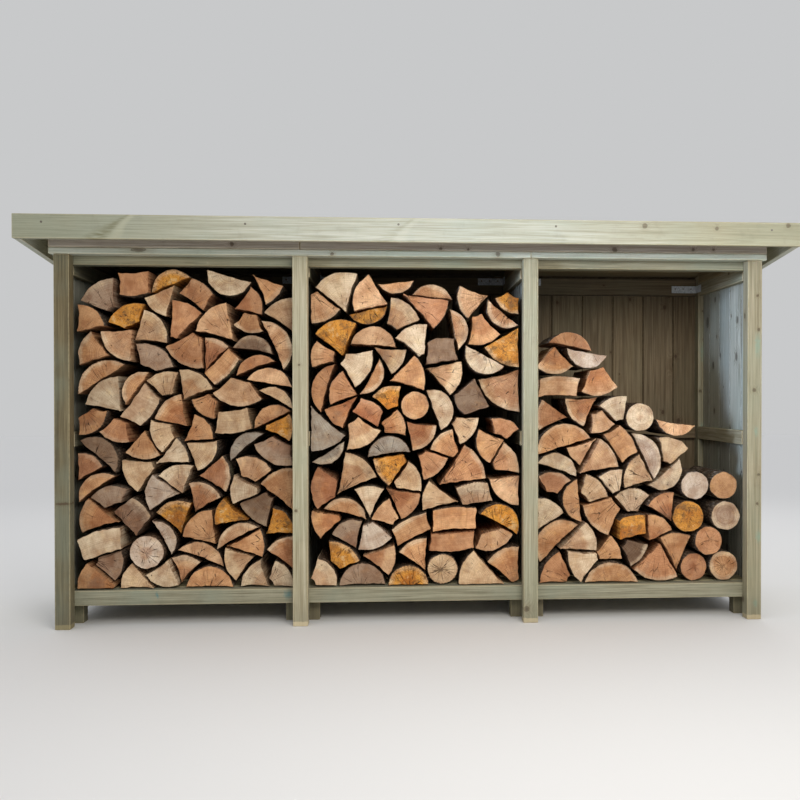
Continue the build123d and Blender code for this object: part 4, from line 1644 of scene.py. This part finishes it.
@dataclass
class Fixings:
    """Nail heads in the boards, and the finish of the angle plates."""

    radius: float = 0.0032
    rise: float = 0.0003
    sides: int = 12
    smooth: float = 40.0
    profile: tuple[Pair, ...] = ((1.0, -3.0), (1.0, 0.4), (0.88, 0.9), (0.45, 1.0))
    pair: Pair = (-0.028, 0.028)
    waver: float = 0.003
    back_sag: float = 0.006
    end_sag: float = 0.005
    fascia: tuple[float, ...] = (-1.0536, -0.4888, -0.0534, 0.403, 1.0454)
    fascia_drop: float = 0.022
    top_level: float = 1.0675
    middle_drop: float = 0.0225
    floor_level: float = 0.0835

    def head(self, gather: Gather, at: Vector, normal: Vector) -> None:
        """Add one nail head.

        Args:
            gather: The piece that it goes into.
            at: Where the nail meets the wood.
            normal: Which way the wood faces.
        """
        side = normal.orthogonal().normalized()
        up = normal.cross(side)
        points = []
        for reach, lift in self.profile:
            for k in range(self.sides):
                turn = 2 * math.pi * k / self.sides
                spoke = side * math.cos(turn) + up * math.sin(turn)
                points.append(tuple(at + spoke * self.radius * reach + normal * self.rise * lift))
        points.append(tuple(at + normal * self.rise))
        last = (len(self.profile) - 1) * self.sides
        faces = tube(len(self.profile), self.sides)
        faces += [[last + k, last + (k + 1) % self.sides, len(points) - 1] for k in range(self.sides)]
        gather.add(points, [*faces, list(range(self.sides - 1, -1, -1))])

    def row(self, name: str, spots: list[Vector], normal: Vector, finishes: Finishes) -> None:
        """Make one piece of nail heads.

        Args:
            name: The piece's name.
            spots: Where each nail is.
            normal: Which way the wood faces.
            finishes: The materials.
        """
        gather = Gather()
        for at in spots:
            self.head(gather, at, normal)
        settle(gather.build(name, [finishes.nail], self.smooth), len(spots))

    def strewn(
        self, node: str, centres: list[float], levels: list[float], along: int, sign: int, sag: float,
        rng: random.Random,
    ) -> tuple[list[Vector], Vector]:
        """Place two nails in each board at each level.

        Args:
            node: The wall's CAD node.
            centres: Middles of its boards.
            levels: Heights of the rows.
            along: The axis that the wall runs along, 0 or 1.
            sign: The side of the wall that the nails are in.
            sag: How far a nail may lie above or below its row.
            rng: The nails' random numbers.

        Returns:
            Where each nail is, and which way the wood faces.
        """
        low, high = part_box(node)
        through = 1 - along
        normal = Vector((0.0, 0.0, 0.0))
        normal[through] = sign
        spots = []
        for level in levels:
            for centre in centres:
                for shift in self.pair:
                    at = Vector((0.0, 0.0, 0.0))
                    at[along] = centre + shift + rng.uniform(-self.waver, self.waver)
                    at[through] = (low if sign < 0 else high)[through] - sign * SKIN
                    at.z = level + rng.uniform(-sag, sag)
                    spots.append(at)
        return spots, normal

    def build(self, finishes: Finishes, boards: dict[str, list[float]]) -> None:
        """Build all fixings.

        Args:
            finishes: The materials.
            boards: Middles of the wall boards, by node.
        """
        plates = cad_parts["angle_plates"].data.materials
        plates.clear()
        plates.append(finishes.plate)
        rng = random.Random("nails")
        low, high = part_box("fascia")
        drop = high.z - self.fascia_drop
        spots = [Vector((x, low.y + SKIN, drop + rng.uniform(-self.waver, self.waver))) for x in self.fascia]
        self.row("fascia_nails", spots, Vector((0.0, -1.0, 0.0)), finishes)
        battens = [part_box(f"back_{name}_battens") for name in ("top", "middle", "floor")]
        levels = [(low.z + high.z) / 2 for low, high in battens]
        back = self.strewn("back_boards", boards["back_boards"], levels, 0, 1, self.back_sag, rng)
        self.row("back_board_nails", *back, finishes)
        levels = [self.top_level, battens[1][1].z - self.middle_drop, self.floor_level]
        for side, sign in SIDES:
            node = f"{side}_end_boards"
            end = self.strewn(node, boards[node], levels, 1, sign, self.end_sag, rng)
            self.row(f"{side}_end_nails", *end, finishes)


class Lamp(NamedTuple):
    """A soft lamp: its name, place, aim, width and height, watts, colour, and its beam in degrees."""

    name: str
    at: Triple
    aim: Triple
    size: Pair
    power: float
    colour: str
    beam: float


@dataclass
class Studio:
    """Plain pale floor and background, soft lamps, and the camera."""

    floor_colour: str = "e2e1df"
    floor_rough: float = 0.9
    floor_specular: float = 0.1
    sky: str = "f1f3f7"
    sky_strength: float = 0.86
    backdrop: str = "c8c9ca"
    lens: float = 46.4
    sensor: float = 36.0
    camera_at: Triple = (-0.0673, -3.3467, 0.6787)
    yaw: float = 0.07107
    pitch: float = -0.01071
    shift: Pair = (-0.084, 0.011)
    floor_half: float = 15.0
    lamps: tuple[Lamp, ...] = (
        Lamp("key_lamp", (0.66, -2.7, 1.7), (0.26, 0.0, 0.6), (1.3, 0.9), 22.5, "fffaf2", 130.0),
        Lamp("side_lamp", (-2.5, -1.95, 1.25), (1.03, -0.12, 0.85), (0.6, 0.6), 2.2, "c6dcff", 20.0),
        Lamp("back_lamp", (0.6, 3.6, 3.2), (0.0, 0.0, 0.6), (3.0, 2.2), 20.0, "ffffff", 120.0),
    )

    def floor(self) -> None:
        """Build the floor."""
        material = bpy.data.materials.new("studio_floor_finish")
        w = Wiring.fresh(material)
        inputs = {"Base Color": self.floor_colour, "Roughness": self.floor_rough}
        shader = w.add("BsdfPrincipled", inputs | {"Specular IOR Level": self.floor_specular})
        w.add("OutputMaterial", {"Surface": shader.outputs[0]})
        gather = Gather()
        s = self.floor_half
        gather.add([(-s, -s, 0), (s, -s, 0), (s, s, 0), (-s, s, 0)], [[0, 1, 2, 3]])
        gather.build("studio_floor", [material])

    def world(self) -> None:
        """Light the surroundings, pale where they are seen."""
        world = bpy.data.worlds.new("studio_world")
        bpy.context.scene.world = world
        w = Wiring.fresh(world)
        rays = w.add("LightPath").outputs
        seen = w.math("MAXIMUM", rays["Is Camera Ray"], rays["Is Glossy Ray"])
        seen = w.math("MAXIMUM", seen, rays["Is Transmission Ray"])
        light = w.add("Background", {"Color": self.sky, "Strength": self.sky_strength})
        pale = w.add("Background", {"Color": self.backdrop, "Strength": 1.0})
        mixed = w.add("MixShader", {0: seen, 1: light.outputs[0], 2: pale.outputs[0]})
        w.add("OutputWorld", {"Surface": mixed.outputs[0]})

    def light(self, lamp: Lamp) -> None:
        """Add one soft lamp.

        Args:
            lamp: The lamp.
        """
        data = bpy.data.lights.new(lamp.name, "AREA")
        data.spread = math.radians(lamp.beam)
        data.shape = "RECTANGLE"
        data.size, data.size_y = lamp.size
        data.energy = lamp.power
        data.color = paint(lamp.colour)[:3]
        item = stand(lamp.name, data)
        item.location = lamp.at
        item.rotation_euler = (Vector(lamp.aim) - Vector(lamp.at)).to_track_quat("-Z", "Y").to_euler()

    def camera(self) -> None:
        """Add the camera at the photograph's viewpoint."""
        data = bpy.data.cameras.new("camera")
        data.lens = self.lens
        data.sensor_width = self.sensor
        data.shift_x, data.shift_y = self.shift
        camera = stand("camera", data)
        camera.location = self.camera_at
        camera.rotation_euler = (math.pi / 2 + self.pitch, 0.0, -self.yaw)
        bpy.context.scene.camera = camera

    def build(self) -> None:
        """Build the studio."""
        self.floor()
        self.world()
        for lamp in self.lamps:
            self.light(lamp)
        self.camera()
        bpy.context.scene.view_settings.view_transform = "Standard"
        LOG.info("studio: floor, world, lamps and camera")


def main() -> None:
    """Build the dressed log store and its studio."""
    logging.basicConfig(level=logging.INFO, format="%(name)s: %(message)s")
    finishes = Finishes()
    for timbers in (FrontFrame(), WallBattens(), Floor(), RoofEdge(), RoofBoards()):
        timbers.build(finishes)
    boards = Walls().build(finishes)
    Firewood().build(finishes)
    Fixings().build(finishes, boards)
    Studio().build()


if __name__ == "__main__":
    main()
